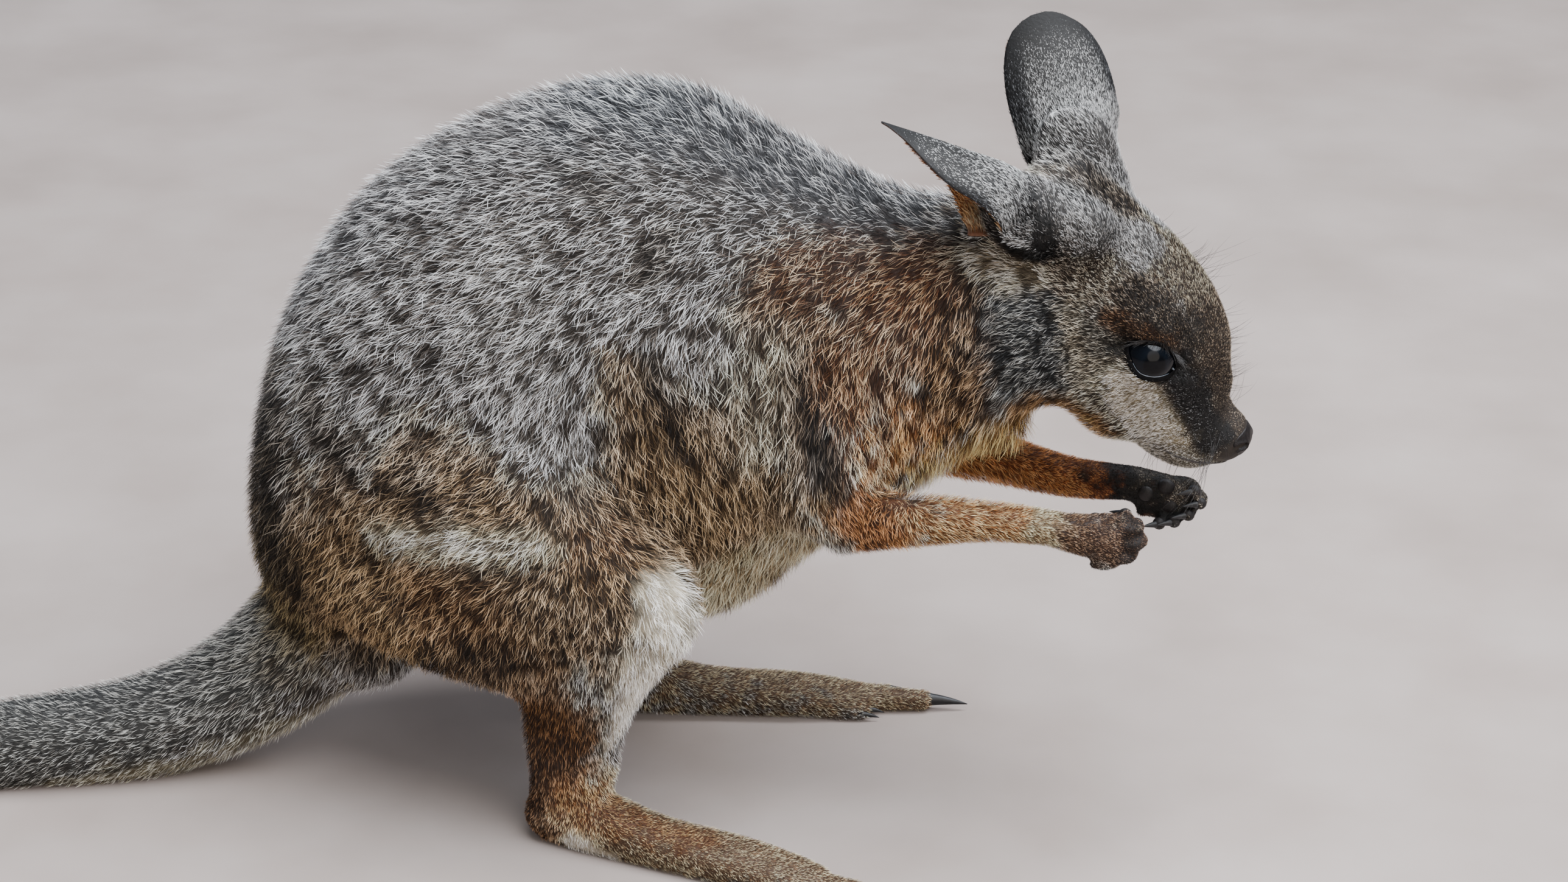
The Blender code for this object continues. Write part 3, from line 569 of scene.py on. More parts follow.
headStrokes = [
    ("headGrizzle", (-50, 0, 5), (50, 0, -20), 50, 0.95),
    ("foreheadBrown", (-30, 0, 34), (20, 0, 16), 22, 0.9), ("silver", (-46, 18, 32), (-32, 13, 33), 13, 0.9),
    ("earBack", (-95, 22, 24), (-60, 20, 30), 20, 0.85), ("silver", (-76, 20, 34), (-54, 27, 28), 13, 0.72),
    ("earPatch", (-82, 36, 18), (-62, 37, 9), 15, 1.0), ("cheekGrey", (-30, 32, -8), (-6, 31, -16), 15, 0.8),
    ("cheekSlate", (-56, 36, -8), (-24, 34, -38), 18, 0.95),
    ("cheekSlate", (-26, 30, 3), (-18, 30, -4), 8, 0.5),
    ("jawTawny", (-20, 26, -44), (26, 14, -39), 10, 0.9),
    ("cheekCream", (2, 29, -13), (32, 16, -27), 12, 0.95), ("lipPale", (48, 10, -29), (22, 13, -38), 9, 0.9),
    ("bridge", (46, 0, -4), (12, 8, 18), 13, 0.85), ("browDark", (-20, 25, 17), (6, 21, 20), 10, 0.85),
    ("browRufous", (-22, 29, 6), (6, 26, 12), 6, 0.85),
    ("muzzleBlack", (12, 24, 5), (46, 12, -16), 9.5, 0.9),
    ("rimBlack", (-12, 29, 0), (13, 24, 5), 6.5, 0.85),
    ("throatCream", (4, 0, -50), (-50, 0, -46), 22, 0.85),
    ("creamBand", (-76, 27, -12), (-54, 30, 0), 7, 0.9), ("browDark", (-68, 4, 34), (-44, 2, 33), 8, 0.85)]


def tones(name):
    # the three colours and the bright share of one coat as one row
    return np.concatenate([linear(c) for c in coatColours[name][:3]] + [coatColours[name][3:]])


def wave(points, length, seed, count=10):
    # sum of plane waves of about one length in scattered directions; returns value and slope
    own = np.random.default_rng(seed)
    way = unit(own.normal(size=(count, 3))) * (2 * np.pi / length) * own.uniform(0.7, 1.35, (count, 1))
    phase = points @ way.T + own.uniform(0, 2 * np.pi, count)
    scale = np.sqrt(2 / count)
    return np.sin(phase).sum(1) * scale, (np.cos(phase) @ way) * scale


def coloursAt(points):
    # start grizzled grey all over, then lay the strokes on in turn: each one's share falls from its
    # strength to nothing about its reach away from its line
    names = list(coatColours)
    palette = np.array([tones(n) for n in names])
    out = np.repeat(palette[:1], len(points), 0)
    ragged = wave(points, 9, 5)[0] * 0.12 + wave(points, 3.5, 6)[0] * 0.08  # uneven edges of the strokes
    for strokes, where, mirrored in ((bodyStrokes, points, True), (tailStrokes, points, False),
                                     (headStrokes, toHead(points), True)):
        if mirrored:
            where = np.stack([where[:, 0], abs(where[:, 1]), where[:, 2]], 1)
        for name, start, end, reach, strength in strokes:
            start, end = np.array(start, float), np.array(end, float)
            share = np.clip((where - start) @ (end - start) / ((end - start) ** 2).sum(), 0, 1)
            gap = np.linalg.norm(where - start - share[:, None] * (end - start), axis=1) / reach
            mask = (strength * (1 - smooth(0.55, 1.1, gap + ragged)))[:, None]
            out = out * (1 - mask) + palette[names.index(name)] * mask
    return out


skinForm = {
    "softVoxel": 3.0, "softSteps": 16, "fineVoxel": 1.35, "fineSteps": 5,
    # share of the coat's length that the skin lies inside the form, and of the faces kept where it hides
    "coatShare": 0.36, "keep": 0.3,
    # fine mesh: head forward of this, all that is forward of this, and what is low and forward of this
    "fineHead": -45, "fineFront": 100, "fineLow": (26, -100),
    # share of the root and middle colours of the hair in the hide
    "hideTone": (0.6, 0.16),
}
lids = {
    # the opening, in degrees along and up from the middle of the ball, back corner first, over the top
    "edge": [(-66, 5), (-43, 24), (-15, 37), (12, 36), (37, 25), (60, 2), (37, -15), (9, -28), (-18, -32),
             (-44, -18)],
    # millimetres: depth under the ball's face, half thickness of the margin, stand of the skin off the
    # ball, brim before it dips, and how far out it is shaped
    "sink": 3.5, "thickness": 0.35, "stand": 1.3, "brim": 0.9, "reach": 21,
    # degrees: width of the margin, and where the skin dips, passes from cover to opening, and fades out
    "band": 11.0, "dip": (-12, 4), "blend": (-22, -9), "fade": (75, 105),
}


def eyeAxes(sign):
    # outward, forward and upward directions of the eye opening, in head axes
    gaze, rise, tilt = (np.radians(eyeBall[k]) for k in ("gaze", "rise", "tilt"))
    out = np.array([np.sin(gaze) * np.cos(rise), sign * np.cos(gaze) * np.cos(rise), np.sin(rise)])
    ahead = np.array([1.0, 0, 0])
    ahead = unit(ahead - (ahead @ out) * out)
    up = np.cross(out, ahead) * sign
    up = up * np.sign(up[2])
    return out, ahead * np.cos(tilt) + up * np.sin(tilt), up * np.cos(tilt) - ahead * np.sin(tilt)


def lidEdge(count=12):
    # closed smooth curve through the lid points
    ring = np.array(lids["edge"], float)
    t = (np.arange(count) / count)[:, None]
    return cubic(*(np.roll(ring, k, 0)[:, None] for k in (1, 0, -1, -2)), t).reshape(-1, 2)


def lidGap(p, q):
    # distance in degrees to the lid edge, positive inside the opening
    ring = lidEdge(4)
    after = np.roll(ring, -1, 0)
    spot = np.stack([p, q], 1)[:, None]
    step = after - ring
    along = np.clip(((spot - ring) * step).sum(-1) / (step ** 2).sum(-1), 0, 1)
    gap = np.linalg.norm(spot - ring - along[..., None] * step, axis=-1).min(1)
    cross = (ring[:, 1] > q[:, None]) != (after[:, 1] > q[:, None])
    climb = np.where(abs(step[:, 1]) < 1e-9, 1e-9, step[:, 1])
    at = ring[:, 0] + (q[:, None] - ring[:, 1]) * step[:, 0] / climb
    inside = (cross & (p[:, None] < at)).sum(1) % 2 == 1
    return np.where(inside, gap, -gap)


def aroundEye(head, sign):
    # distance from the middle of the ball, direction, angle off the gaze and the two lid angles
    out, ahead, up = eyeAxes(sign)
    d = head - eyeMiddle(sign)
    r = np.linalg.norm(d, axis=-1)
    n = d / np.maximum(r, 1e-6)[..., None]
    angle = np.degrees(np.arccos(np.clip(n @ out, -1, 1)))
    p, q = n @ ahead, n @ up
    s = np.maximum(np.hypot(p, q), 1e-6)
    return r, n, angle, angle * p / s, angle * q / s


def onEye(sign, p, q, r):
    # head-frame point at lid angles p, q and distance r from the middle of the ball
    out, ahead, up = eyeAxes(sign)
    angle = np.maximum(np.hypot(p, q), 1e-6)
    a = np.radians(angle)
    n = (np.cos(a)[..., None] * out + (np.sin(a) * p / angle)[..., None] * ahead
         + (np.sin(a) * q / angle)[..., None] * up)
    return n * np.asarray(r)[..., None] + eyeMiddle(sign)


def shapeLids(points):
    # round each eye the skin dips under the ball inside the lid edge, and covers the ball outside it
    head = toHead(points)
    radius, brim = eyeBall["radius"], lids["brim"]
    for sign in (-1, 1):
        r, n, angle, p, q = aroundEye(head, sign)
        near = np.flatnonzero((angle < lids["fade"][1]) & (r < lids["reach"]))
        gap = lidGap(p[near], q[near])
        sunk = radius + brim - (brim + lids["sink"]) * smooth(*lids["dip"], gap)
        cover = np.maximum(r[near], radius + lids["stand"])
        share = smooth(*lids["blend"], gap)
        target = cover + (sunk - cover) * share
        fade = 1 - smooth(*lids["fade"], angle[near])
        moved = r[near] + (target - r[near]) * fade
        head[near] = n[near] * moved[:, None] + eyeMiddle(sign)
    return inHead(head)


def buildSkin():
    # one closed skin: soft forms melted together, fine forms added, sunk by part of the coat's depth
    soft = remeshed(together(softForms()), skinForm["softVoxel"], skinForm["softSteps"])
    whole = remeshed(together([soft] + fineForms()), skinForm["fineVoxel"], skinForm["fineSteps"])
    work = makeMesh("work", whole[0], whole[1], place=False)
    points, quads, normals = readMesh(work)
    bpy.data.objects.remove(work, do_unlink=True)
    _, length = lieAt(points, normals)
    sole = smooth(3.5, 1.0, points[:, 2])  # the soles stay where they are
    points = points - normals * (length * skinForm["coatShare"] * (1 - sole))[:, None]
    points = shapeLids(points)
    points[:, 2] = np.maximum(points[:, 2], 0.0)
    # thin the mesh where the coat hides it; head, hands and feet stay fine
    work = makeMesh("work", points, quads, place=False)
    head = toHead(points)
    height, back = skinForm["fineLow"]
    fine = (head[:, 0] > skinForm["fineHead"]) | (points[:, 0] > skinForm["fineFront"])
    fine |= (points[:, 2] < height) & (points[:, 0] > back)
    coarse = work.vertex_groups.new(name="coarse")
    coarse.add(np.flatnonzero(~fine).tolist(), 1.0, "REPLACE")
    thin = work.modifiers.new("thin", "DECIMATE")
    thin.ratio, thin.vertex_group, thin.use_collapse_triangulate = skinForm["keep"], "coarse", True
    points, triangles, normals = readMesh(work)
    bpy.data.objects.remove(work, do_unlink=True)
    return points, triangles, normals


skinPoints, skinTriangles, skinNormals = buildSkin()
print("skin", len(skinPoints), "points", len(skinTriangles), "triangles")

skinTints = coloursAt(skinPoints)
skinLie, skinLength = lieAt(skinPoints, skinNormals)


def hideTone(tints, shares):
    # colour of the hide under hair of these colours
    return tints[..., 0:3] * shares[0] + tints[..., 3:6] * shares[1]


def addColours(piece, name, colours):
    # a named layer with one linear colour for each vertex
    layer = piece.data.color_attributes.new(name, "FLOAT_COLOR", "POINT")
    full = np.ones((len(colours), 4), np.float32)
    full[:, :3] = colours
    layer.data.foreach_set("color", full.ravel())


def hideMaterial():
    # bare hide under the coat: soft, dull, finely wrinkled, tinted by the underfur
    material, shader = newMaterial("furredHide")
    tint = addNode(material, "ShaderNodeAttribute", {"attribute_name": "hideTint"})
    place = addNode(material, "ShaderNodeTexCoord")
    # wrinkles about 1.2 mm apart
    grain = addNode(material, "ShaderNodeTexNoise", None, {"Vector": (place, "Object"), "Scale": 850.0,
                                                          "Detail": 4.0, "Roughness": 0.6})
    shade = addNode(material, "ShaderNodeMix", {"data_type": "RGBA", "blend_type": "MULTIPLY"}, {0: 0.6})
    tone = addNode(material, "ShaderNodeValToRGB", None, {"Fac": (grain, "Fac")},
                   [(0.35, (0.35, 0.33, 0.31, 1)), (0.65, (1, 1, 1, 1))])
    joinTo(material, tint, "Color", shade, 6)
    joinTo(material, tone, "Color", shade, 7)
    joinTo(material, shade, 2, shader, "Base Color")
    bump = addNode(material, "ShaderNodeBump", None, {"Height": (grain, "Fac"), "Strength": 0.5,
                                                      "Distance": 0.0004})
    joinTo(material, bump, "Normal", shader, "Normal")
    setShader(shader, Roughness=0.7, Specular_IOR_Level=0.3)
    return material


hide = hideMaterial()
skin = makeMesh("skin", skinPoints, skinTriangles, material=hide)
addColours(skin, "hideTint", hideTone(skinTints, skinForm["hideTone"]))
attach(skin, "root")
fleshNodes = ["head", "neck", "chest", "loin", "rump", "tail_base", "tail_middle", "tail_tip"]
for side in sides:
    fleshNodes += [part + "_" + side for part in ("upper_arm", "forearm", "hand", "thigh", "shank", "foot")]
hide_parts(*fleshNodes)
print("skin piece done")


coat = {
    # tufts on the skin, how many times over they cover it, and where the head and low parts begin
    "budget": 640000, "cover": 5.5, "headFrom": -62, "headShare": 1.65, "lowShare": 0.38, "low": (75, 40),
    # one tuft: depth of its root, rise at root and tip in degrees, width, share of its length that
    # shows, place of its bend, spread to the side, turn about itself
    "rootDepth": 0.4, "rise": (46, 22), "widthBase": 0.16, "widthShare": 0.004, "show": 0.6,
    "bend": 0.58, "spread": 0.9, "roll": 1.9,
    # sizes of clumps, locks and flecks in millimetres, and how far the hairs of a clump lean together
    "clump": 6.5, "lock": 13, "fleck": 3, "gather": 0.42,
    # share of the full length: the least, what chance adds, what a bright tip adds
    "lengths": (0.72, 0.36, 0.2),
    # tone: darker roots, paler tips with a limit, share of dark hairs among those without a bright tip
    "darken": 0.7, "lighten": 1.3, "palest": 0.85, "darkShare": 0.6,
    # dark gaps between locks, partly the dark hair bases and partly painted shade: where the pattern makes
    # them, and how much fainter between these heights
    "gaps": (0.1, 1.2), "backFainter": 0.45, "backHeight": (235, 295),
    "leastHeight": (0.3, 0.4),  # of a tuft's bend and tip over the floor
}


def coatMaterial():
    # guard hair and underfur: fine tapering fibres, dark at the root, pale at the tip, a soft sheen
    material, shader = newMaterial("grizzledFur")
    tint = addNode(material, "ShaderNodeAttribute", {"attribute_name": "hairTint"})
    place = addNode(material, "ShaderNodeTexCoord")
    # tufts a few millimetres across differ a little in tone
    patch = addNode(material, "ShaderNodeTexNoise", None, {"Vector": (place, "Object"), "Scale": 220.0,
                                                          "Detail": 3.0, "Roughness": 0.6})
    level = addNode(material, "ShaderNodeMapRange", None, {"Value": (patch, "Fac"), "From Min": 0.3,
                                                          "From Max": 0.7, "To Min": 0.8, "To Max": 1.15})
    hue = addNode(material, "ShaderNodeHueSaturation", None, {"Color": (tint, "Color"),
                                                             "Value": (level, "Result")})
    joinTo(material, hue, "Color", shader, "Base Color")
    setShader(shader, Roughness=0.55, Specular_IOR_Level=0.12)
    return material


furMaterial = coatMaterial()


def growCoat(name, root, normal, lie, length, tints, chart, ruffle=1.0, patchy=1.0, rise=None, width=None):
    # each tuft is a bent lancet: a root, two points past halfway and a tip. It leaves the skin at
    # the first rise angle and lies down at the second, leaning towards its clump
    count = len(root)
    first, second = rise or coat["rise"]
    chance = draw.random((count, 6))
    spin = (chance[:, 0] + chance[:, 1] - 1) * coat["spread"] * ruffle
    aside = np.cross(normal, lie)
    lie = lie * np.cos(spin)[:, None] + aside * np.sin(spin)[:, None]
    aside = np.cross(normal, lie)
    # hair kinds: the bright-tipped reach furthest; of the rest the dark share stays dark
    kind = chance[:, 5]
    share = tints[:, 9]
    bright = np.where(kind > 1 - share, 1.0, np.where(kind > (1 - share) * coat["darkShare"], 0.45, 0.0))
    least, more, tipped = coat["lengths"]
    length = length * coat["show"] * (least + more * chance[:, 2] + tipped * bright)
    clump, slope = wave(root, coat["clump"], 11)
    patch = wave(root, coat["lock"], 12, 14)[0] * 0.55 + clump * 0.5 + wave(root, coat["fleck"], 13)[0] * 0.35
    gather = onSurface(-slope * coat["gather"], normal)
    riseRoot = np.radians(first * (0.7 + 0.6 * chance[:, 3]))
    riseTip = np.radians(second * (0.1 + 1.8 * chance[:, 3]))
    base = root - normal * coat["rootDepth"]
    bend = coat["bend"]
    middle = base + (length * bend)[:, None] * tilted(lie, normal, riseRoot)
    lay = unit(lie + gather * (0.8 * patchy))
    tip = middle + (length * (1 - bend))[:, None] * tilted(lay, normal, riseTip)
    for part, height in zip((middle, tip), coat["leastHeight"]):
        part[:, 2] = np.maximum(part[:, 2], height)
    wide = coat["widthBase"] + coat["widthShare"] * length if width is None else width
    half = tilted(aside, normal, (chance[:, 4] - 0.5) * coat["roll"]) * (wide * 0.5)[:, None]
    points = np.stack([base, middle - half, tip, middle + half], 1).reshape(-1, 3)
    corner = np.arange(count)[:, None] * 4
    faces = np.concatenate([corner + (0, 1, 3), corner + (1, 2, 3)], 1).reshape(-1, 3)
    piece = makeMesh(name, points, faces, material=furMaterial)
    # gaps between the locks show the dark base, and painted shade darkens them further, fainter high on the
    # back
    gap = smooth(*coat["gaps"], patch) * patchy
    gap = gap * (1 - coat["backFainter"] * smooth(*coat["backHeight"], root[:, 2]))
    bright = bright * (1 - 0.75 * gap)
    dark, mid = tints[:, 0:3] * coat["darken"], tints[:, 3:6]
    light = np.minimum(tints[:, 6:9] * coat["lighten"], coat["palest"])
    tone = ((0.8 + 0.4 * chance[:, 2]) * (1 - 0.5 * gap))[:, None]
    lift, full = smooth(0, 0.45, bright)[:, None], smooth(0.4, 1, bright)[:, None]
    midTint = (dark + (mid * 0.75 - dark) * (0.1 + 0.9 * lift) + (light - mid) * 0.35 * full) * tone
    tipTint = (mid * (0.25 + 0.6 * lift) + (light - mid) * (0.12 * lift + 0.88 * full)) * tone
    rootTint = dark * tone
    addColours(piece, "hairTint", np.stack([rootTint, midTint, tipTint, midTint], 1).reshape(-1, 3))
    patchMap(piece, chart)
    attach(piece, "root")
    print(name, count, "tufts", len(piece.data.polygons), "faces")


def patchMap(piece, chart):
    # OFBake: each tuft is a square 0.003 across at its root's place on the unwrapped skin
    low, high = chart.min(0), chart.max(0)
    place = 0.01 + 0.977 * (chart - low) / np.maximum(high - low, 1e-9)
    corners = np.array([(0, 0), (0.003, 0), (0.003, 0.003), (0, 0.003)])
    spots = place[:, None] + corners[[0, 1, 3, 1, 2, 3]]  # the corners in the order of the two faces
    layer = piece.data.uv_layers.new(name="OFBake")
    layer.data.foreach_set("uv", spots.astype(np.float32).ravel())


def meanPath(rows):
    # the rows of a tube as a path: x, y, z and the mean radius
    return np.array([(x, y, z, (a * b) ** 0.5) for x, y, z, a, b in rows])


def coatPaths():
    # paths that the coat is parted and unwrapped along
    paths = {"Head": meanPath([(*inHead((x, 0, z)), a, b) for x, z, a, b in body["skull"]]),
             "Neck": np.array([(38, 0, 208, 62), (60, 0, 214, 50), (84, 0, 222, 44)]),
             "Trunk": meanPath(body["trunk"][1:7]),
             "Belly": meanPath(body["belly"]) * (1, 1, 1, 0.9),
             "Tail": meanPath(body["tail"][1:])}
    for side, sign in sides.items():
        knee = leg["kneeShift"][side]
        paths["Thigh" + side] = legRows(meanPath(leg["thigh"]), side, (0, 0, knee / 2, knee))
        foot = [(*onFoot(side, d, o, z), 12) for d, o, z, _, _ in leg["sole"][1:]]
        paths["Leg" + side] = np.vstack([legRows(meanPath(leg["shank"]), side, knee / 2), foot,
                                         [(*onFoot(side, 138, 2, 5), 9)]])
        rows = meanPath(arm["upper"][side] + arm["fore"][side][1:] + arm["palm"][side][1:])
        paths["Arm" + side] = np.vstack([rows, (*(rows[-1, :3] + (14, -3 * sign, -2)), 9)])
    return paths


def nearestPath(points):
    # index of the nearest path, by distance over radius, with the angle round it and the way along it
    best = np.full(len(points), 1e9)
    which = np.zeros(len(points), int)
    chart = np.zeros((len(points), 2))
    paths = coatPaths()
    for index, (name, rows) in enumerate(paths.items()):
        rows = through(rows, 6)
        centres = rows[:, :3]
        along, across, up = ringFrames(centres, headTurn @ (0, 1, 0) if name == "Head" else (0, 1, 0.001))
        travel = np.concatenate([[0], np.cumsum(np.linalg.norm(np.diff(centres, axis=0), axis=1))])
        for start in range(0, len(points), 50000):
            part = slice(start, start + 50000)
            offset = points[part, None] - centres[None]
            score = np.linalg.norm(offset, axis=-1) / rows[:, 3]
            k = score.argmin(1)
            near = score[np.arange(len(k)), k]
            at = offset[np.arange(len(k)), k]
            better = near < best[part]
            turn = np.arctan2((at * up[k]).sum(1), (at * across[k]).sum(1))
            way = travel[k] + (at * along[k]).sum(1)
            best[part] = np.where(better, near, best[part])
            which[part] = np.where(better, index, which[part])
            chart[part] = np.where(better[:, None], np.stack([turn, way], 1), chart[part])
    return list(paths), which, chart


pathNames, skinPath, skinChart = nearestPath(skinPoints)


def coatRoots():
    # random roots on the skin's triangles, as many to the area as the hair's size there asks
    a, b, c = (skinPoints[skinTriangles[:, i]] for i in range(3))
    area = np.linalg.norm(np.cross(b - a, c - a), axis=1) / 2
    length = skinLength[skinTriangles].mean(1)
    width = coat["widthBase"] + coat["widthShare"] * length
    # the long coat and the head get more than their even share, shanks and feet less
    middle = (a + b + c) / 3
    head = toHead(middle)[:, 0] > coat["headFrom"]
    favour = (length / 8) ** 0.45 * np.where(head, coat["headShare"], 1.0)
    favour = favour * (1 - coat["lowShare"] * smooth(*coat["low"], middle[:, 2]))
    need = area * coat["cover"] / (0.5 * length * width) * favour
    need *= 1 - bareAt(middle)
    need *= min(1.0, coat["budget"] / need.sum())
    print("coat roots", int(need.sum()), "skin area", int(area.sum()))
    total = np.cumsum(need)
    pick = np.searchsorted(total, draw.random(int(total[-1])) * total[-1])
    pick = np.minimum(pick, len(need) - 1)
    u, v = draw.random((2, len(pick)))
    flip = u + v > 1
    u, v = np.where(flip, 1 - u, u), np.where(flip, 1 - v, v)
    return pick, np.stack([1 - u - v, u, v], 1)


# soles up to a height, the nose ahead of a place between two heights, the eye openings with a margin
# in degrees, looked for within an angle and a distance
bareSkin = {"sole": 1.5, "nose": 53.0, "noseHeight": (-24, -3), "lidMargin": 7, "eyeAngle": 100,
            "eyeReach": 15}


def bareAt(points):
    # 1 where no hair grows
    bare = (points[:, 2] < bareSkin["sole"]).astype(float)
    head = toHead(points)
    low, high = bareSkin["noseHeight"]
    bare = np.maximum(bare, (head[:, 0] > bareSkin["nose"]) & (head[:, 2] > low) & (head[:, 2] < high))
    for sign in (-1, 1):
        r, _, angle, p, q = aroundEye(head, sign)
        near = np.flatnonzero((angle < bareSkin["eyeAngle"]) & (r < bareSkin["eyeReach"]))
        bare[near] = np.maximum(bare[near], lidGap(p[near], q[near]) > -bareSkin["lidMargin"])
    return bare


def atRoots(pick, share, values):
    # value at each root, blended from its triangle's corners
    corners = values[skinTriangles[pick]]
    return (corners * share.reshape(share.shape + (1,) * (corners.ndim - 2))).sum(1)


def dressSkin():
    # the whole skin's coat, in one piece for each region and side of the body
    pick, share = coatRoots()
    root = atRoots(pick, share, skinPoints)
    normal = unit(atRoots(pick, share, skinNormals))
    lie = atRoots(pick, share, skinLie)
    lie = unit(onSurface(lie, normal))
    length = atRoots(pick, share, skinLength)
    tints = atRoots(pick, share, skinTints)
    corner = skinTriangles[pick, share.argmax(1)]
    name, chart = np.array(pathNames)[skinPath[corner]], skinChart[corner]
    trunk = (name == "Trunk") | (name == "Belly")
    right, rear, headRight = root[:, 1] < 0, root[:, 0] < -95, toHead(root)[:, 1] < 0
    pieces = {"coatHeadRight": (name == "Head") & headRight, "coatHeadLeft": (name == "Head") & ~headRight,
              "coatNeck": name == "Neck",
              "coatFlankRight": trunk & right & ~rear, "coatFlankLeft": trunk & ~right & ~rear,
              "coatRumpRight": trunk & right & rear, "coatRumpLeft": trunk & ~right & rear}
    for part in ("Thigh", "Leg", "Arm"):
        for side in sides:
            pieces["coat" + part + side.title()] = name == part + side
    pieces["coatTail"] = name == "Tail"
    for piece, chosen in pieces.items():
        k = np.flatnonzero(chosen)
        calm = any(part in piece for part in ("Head", "Leg", "Arm", "Tail"))
        growCoat(piece, root[k], normal[k], lie[k], length[k], tints[k], chart[k],
                 ruffle=0.75 if calm else 0.7 if "Neck" in piece else 1.05, patchy=0.35 if calm else 1.0)


dressSkin()
print("coat done")


# ears: arcs of changing radius stacked along a spine, opened out, with thickness
ears = {
    "right": {"spine": [(113, -17, 261), (96, -22, 286), (70, -30, 299.5), (43.5, -38, 310.5)],
              # rim: where the black edge begins across the ear; the setting after it: where painted shade
              # begins on the side that curls away, none below -1
              "facing": (0.33, 0.30, 0.88), "rim": 0.8, "paintedShadeSide": -2.0,
              "patch": ((0.26, 0.13), (-0.72, 0.3)),
              # share of length, bending radius, half width of the flattened ear, turn of the arc
              "form": [(0.0, 6.5, 9, 0.15), (0.12, 13, 28, 0.12), (0.25, 17.5, 40, 0.24),
                       (0.4, 18.5, 37, 0.24), (0.55, 19.5, 29.5, 0.06), (0.7, 20.5, 21, -0.2),
                       (0.82, 20.5, 15, -0.2), (0.91, 20.5, 9.5, -0.12), (0.97, 20.5, 5.5, -0.05),
                       (1.0, 20.5, 2.2, 0)]},
    "left": {"spine": [(120, 18, 266), (111, 19, 288), (102, 27, 310), (93.5, 36, 330.5)],
             "facing": (0.20, -0.85, 0.45), "rim": 0.6, "paintedShadeSide": -0.45,
             "patch": ((0.2, 0.14), (-0.9, 0.2)),
             "form": [(0.0, 15, 27, 0.18), (0.15, 18, 29.5, 0.16), (0.3, 22, 29, 0.13), (0.45, 25, 27, 0.1),
                      (0.6, 28, 25.6, 0.08), (0.74, 29, 23, 0.07), (0.86, 29, 18.4, 0.04),
                      (0.94, 29, 12.5, 0), (0.98, 29, 7.5, 0), (1.0, 29, 3, 0)]},
    # thickness at foot and tip, depth of the coat, grid, hairs on the back and inside
    "thick": (2.6, 1.5), "coat": 0.6, "rings": 56, "arc": 32, "hairs": 52000, "insideHairs": 11000,
    "hairLength": [(0, 8.5), (0.25, 6.0), (0.6, 3.4), (1, 1.8)], "hairWidth": (0.18, 0.22),
    "fleshColour": "#7d5642", "hideTone": (0.3, 0.1),
}


def earAt(side, share, across, inset):
    # point, outward direction and axis at a share of the length, across from -1 to 1, inset inwards
    own = ears[side]
    path = through(own["spine"], 30)
    steps = np.linspace(0, 1, len(path))
    way = unit(np.gradient(path, axis=0))
    form = through(own["form"], 12)
    where = np.asarray(share)
    spine = np.stack([np.interp(where, steps, path[:, k]) for k in range(3)], -1)
    axis = unit(np.stack([np.interp(where, steps, way[:, k]) for k in range(3)], -1))
    facing = np.array(own["facing"])
    back = unit(facing - (axis @ facing)[..., None] * axis)
    sideways = np.cross(axis, back)
    radius, half, turn = (np.interp(where, form[:, 0], form[:, k]) for k in (1, 2, 3))
    angle = half / radius * across + turn
    out = sideways * np.sin(angle)[..., None] + back * np.cos(angle)[..., None]
    return spine + out * (radius - inset)[..., None] - back * radius[..., None], out, axis


def earTints(side, share, across):
    # grizzled grey back, silver foot with a black patch, black along the edges and round the tip, and painted
    # shade down the side that curls away
    mid, silver, rim, patch = (tones(k) for k in ("earBack", "silver", "earRim", "earPatch"))
    own = ears[side]
    foot = (1 - smooth(0.05, 0.4, share))[..., None]
    edge = np.maximum(smooth(own["rim"], 0.95, abs(across)) * smooth(0.3, 0.55, share),
                      smooth(0.8, 0.97, share))
    # painted shade down the side of the ear that curls away
    shade = smooth(own["paintedShadeSide"], own["paintedShadeSide"] - 0.3, across) * smooth(0.25, 0.5, share) * 0.9
    edge = np.maximum(edge, shade)
    base = mid + (silver - mid) * foot * 0.8
    (at, wide), (on, broad) = own["patch"]
    black = np.exp(-(((share - at) / wide) ** 2 + ((across - on) / broad) ** 2) * 1.5)[..., None]
    base = base + (patch - base) * black * 0.95
    return base + (rim - base) * (edge * 0.92)[..., None]


def earThickness(share):
    # falls evenly from the foot to the tip
    return ears["thick"][0] + (ears["thick"][1] - ears["thick"][0]) * share


def earPiece(side):
    # outer face, rolled edge and inner face as one closed ring at each share of the length; the rings
    # crowd towards the tip
    rings, arc = ears["rings"], ears["arc"]
    share = (1 - (1 - np.linspace(0, 1, rings)) ** 1.6)[:, None] + np.zeros((1, arc))
    turn = np.linspace(-1, 1, arc)[None] + np.zeros((rings, 1))
    thick = earThickness(share) - ears["coat"]
    outer, _, _ = earAt(side, share, turn * 0.985, ears["coat"] + 0 * share)
    inner, _, _ = earAt(side, share, -turn * 0.985, ears["coat"] + thick * (1 - 0.35 * turn ** 6))
    ring = np.concatenate([outer, inner], 1)
    points = np.vstack([ring.reshape(-1, 3), ring[0].mean(0), ring[-1].mean(0)])
    piece = makeMesh("ear_" + side, points, gridFaces(rings, 2 * arc), capFans(rings, 2 * arc),
                     material=hide)
    # the hide takes these tints too, the painted shade among them
    back = hideTone(earTints(side, share, turn), ears["hideTone"])
    flesh = linear(ears["fleshColour"]) * (1 - 0.75 * smooth(0.45, 0.9, share))[..., None]
    tone = np.concatenate([back, flesh], 1)
    addColours(piece, "hideTint", np.vstack([tone.reshape(-1, 3), tone[0, :1], tone[-1, :1]]))
    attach(piece, "root")
    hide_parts("ear_" + side)


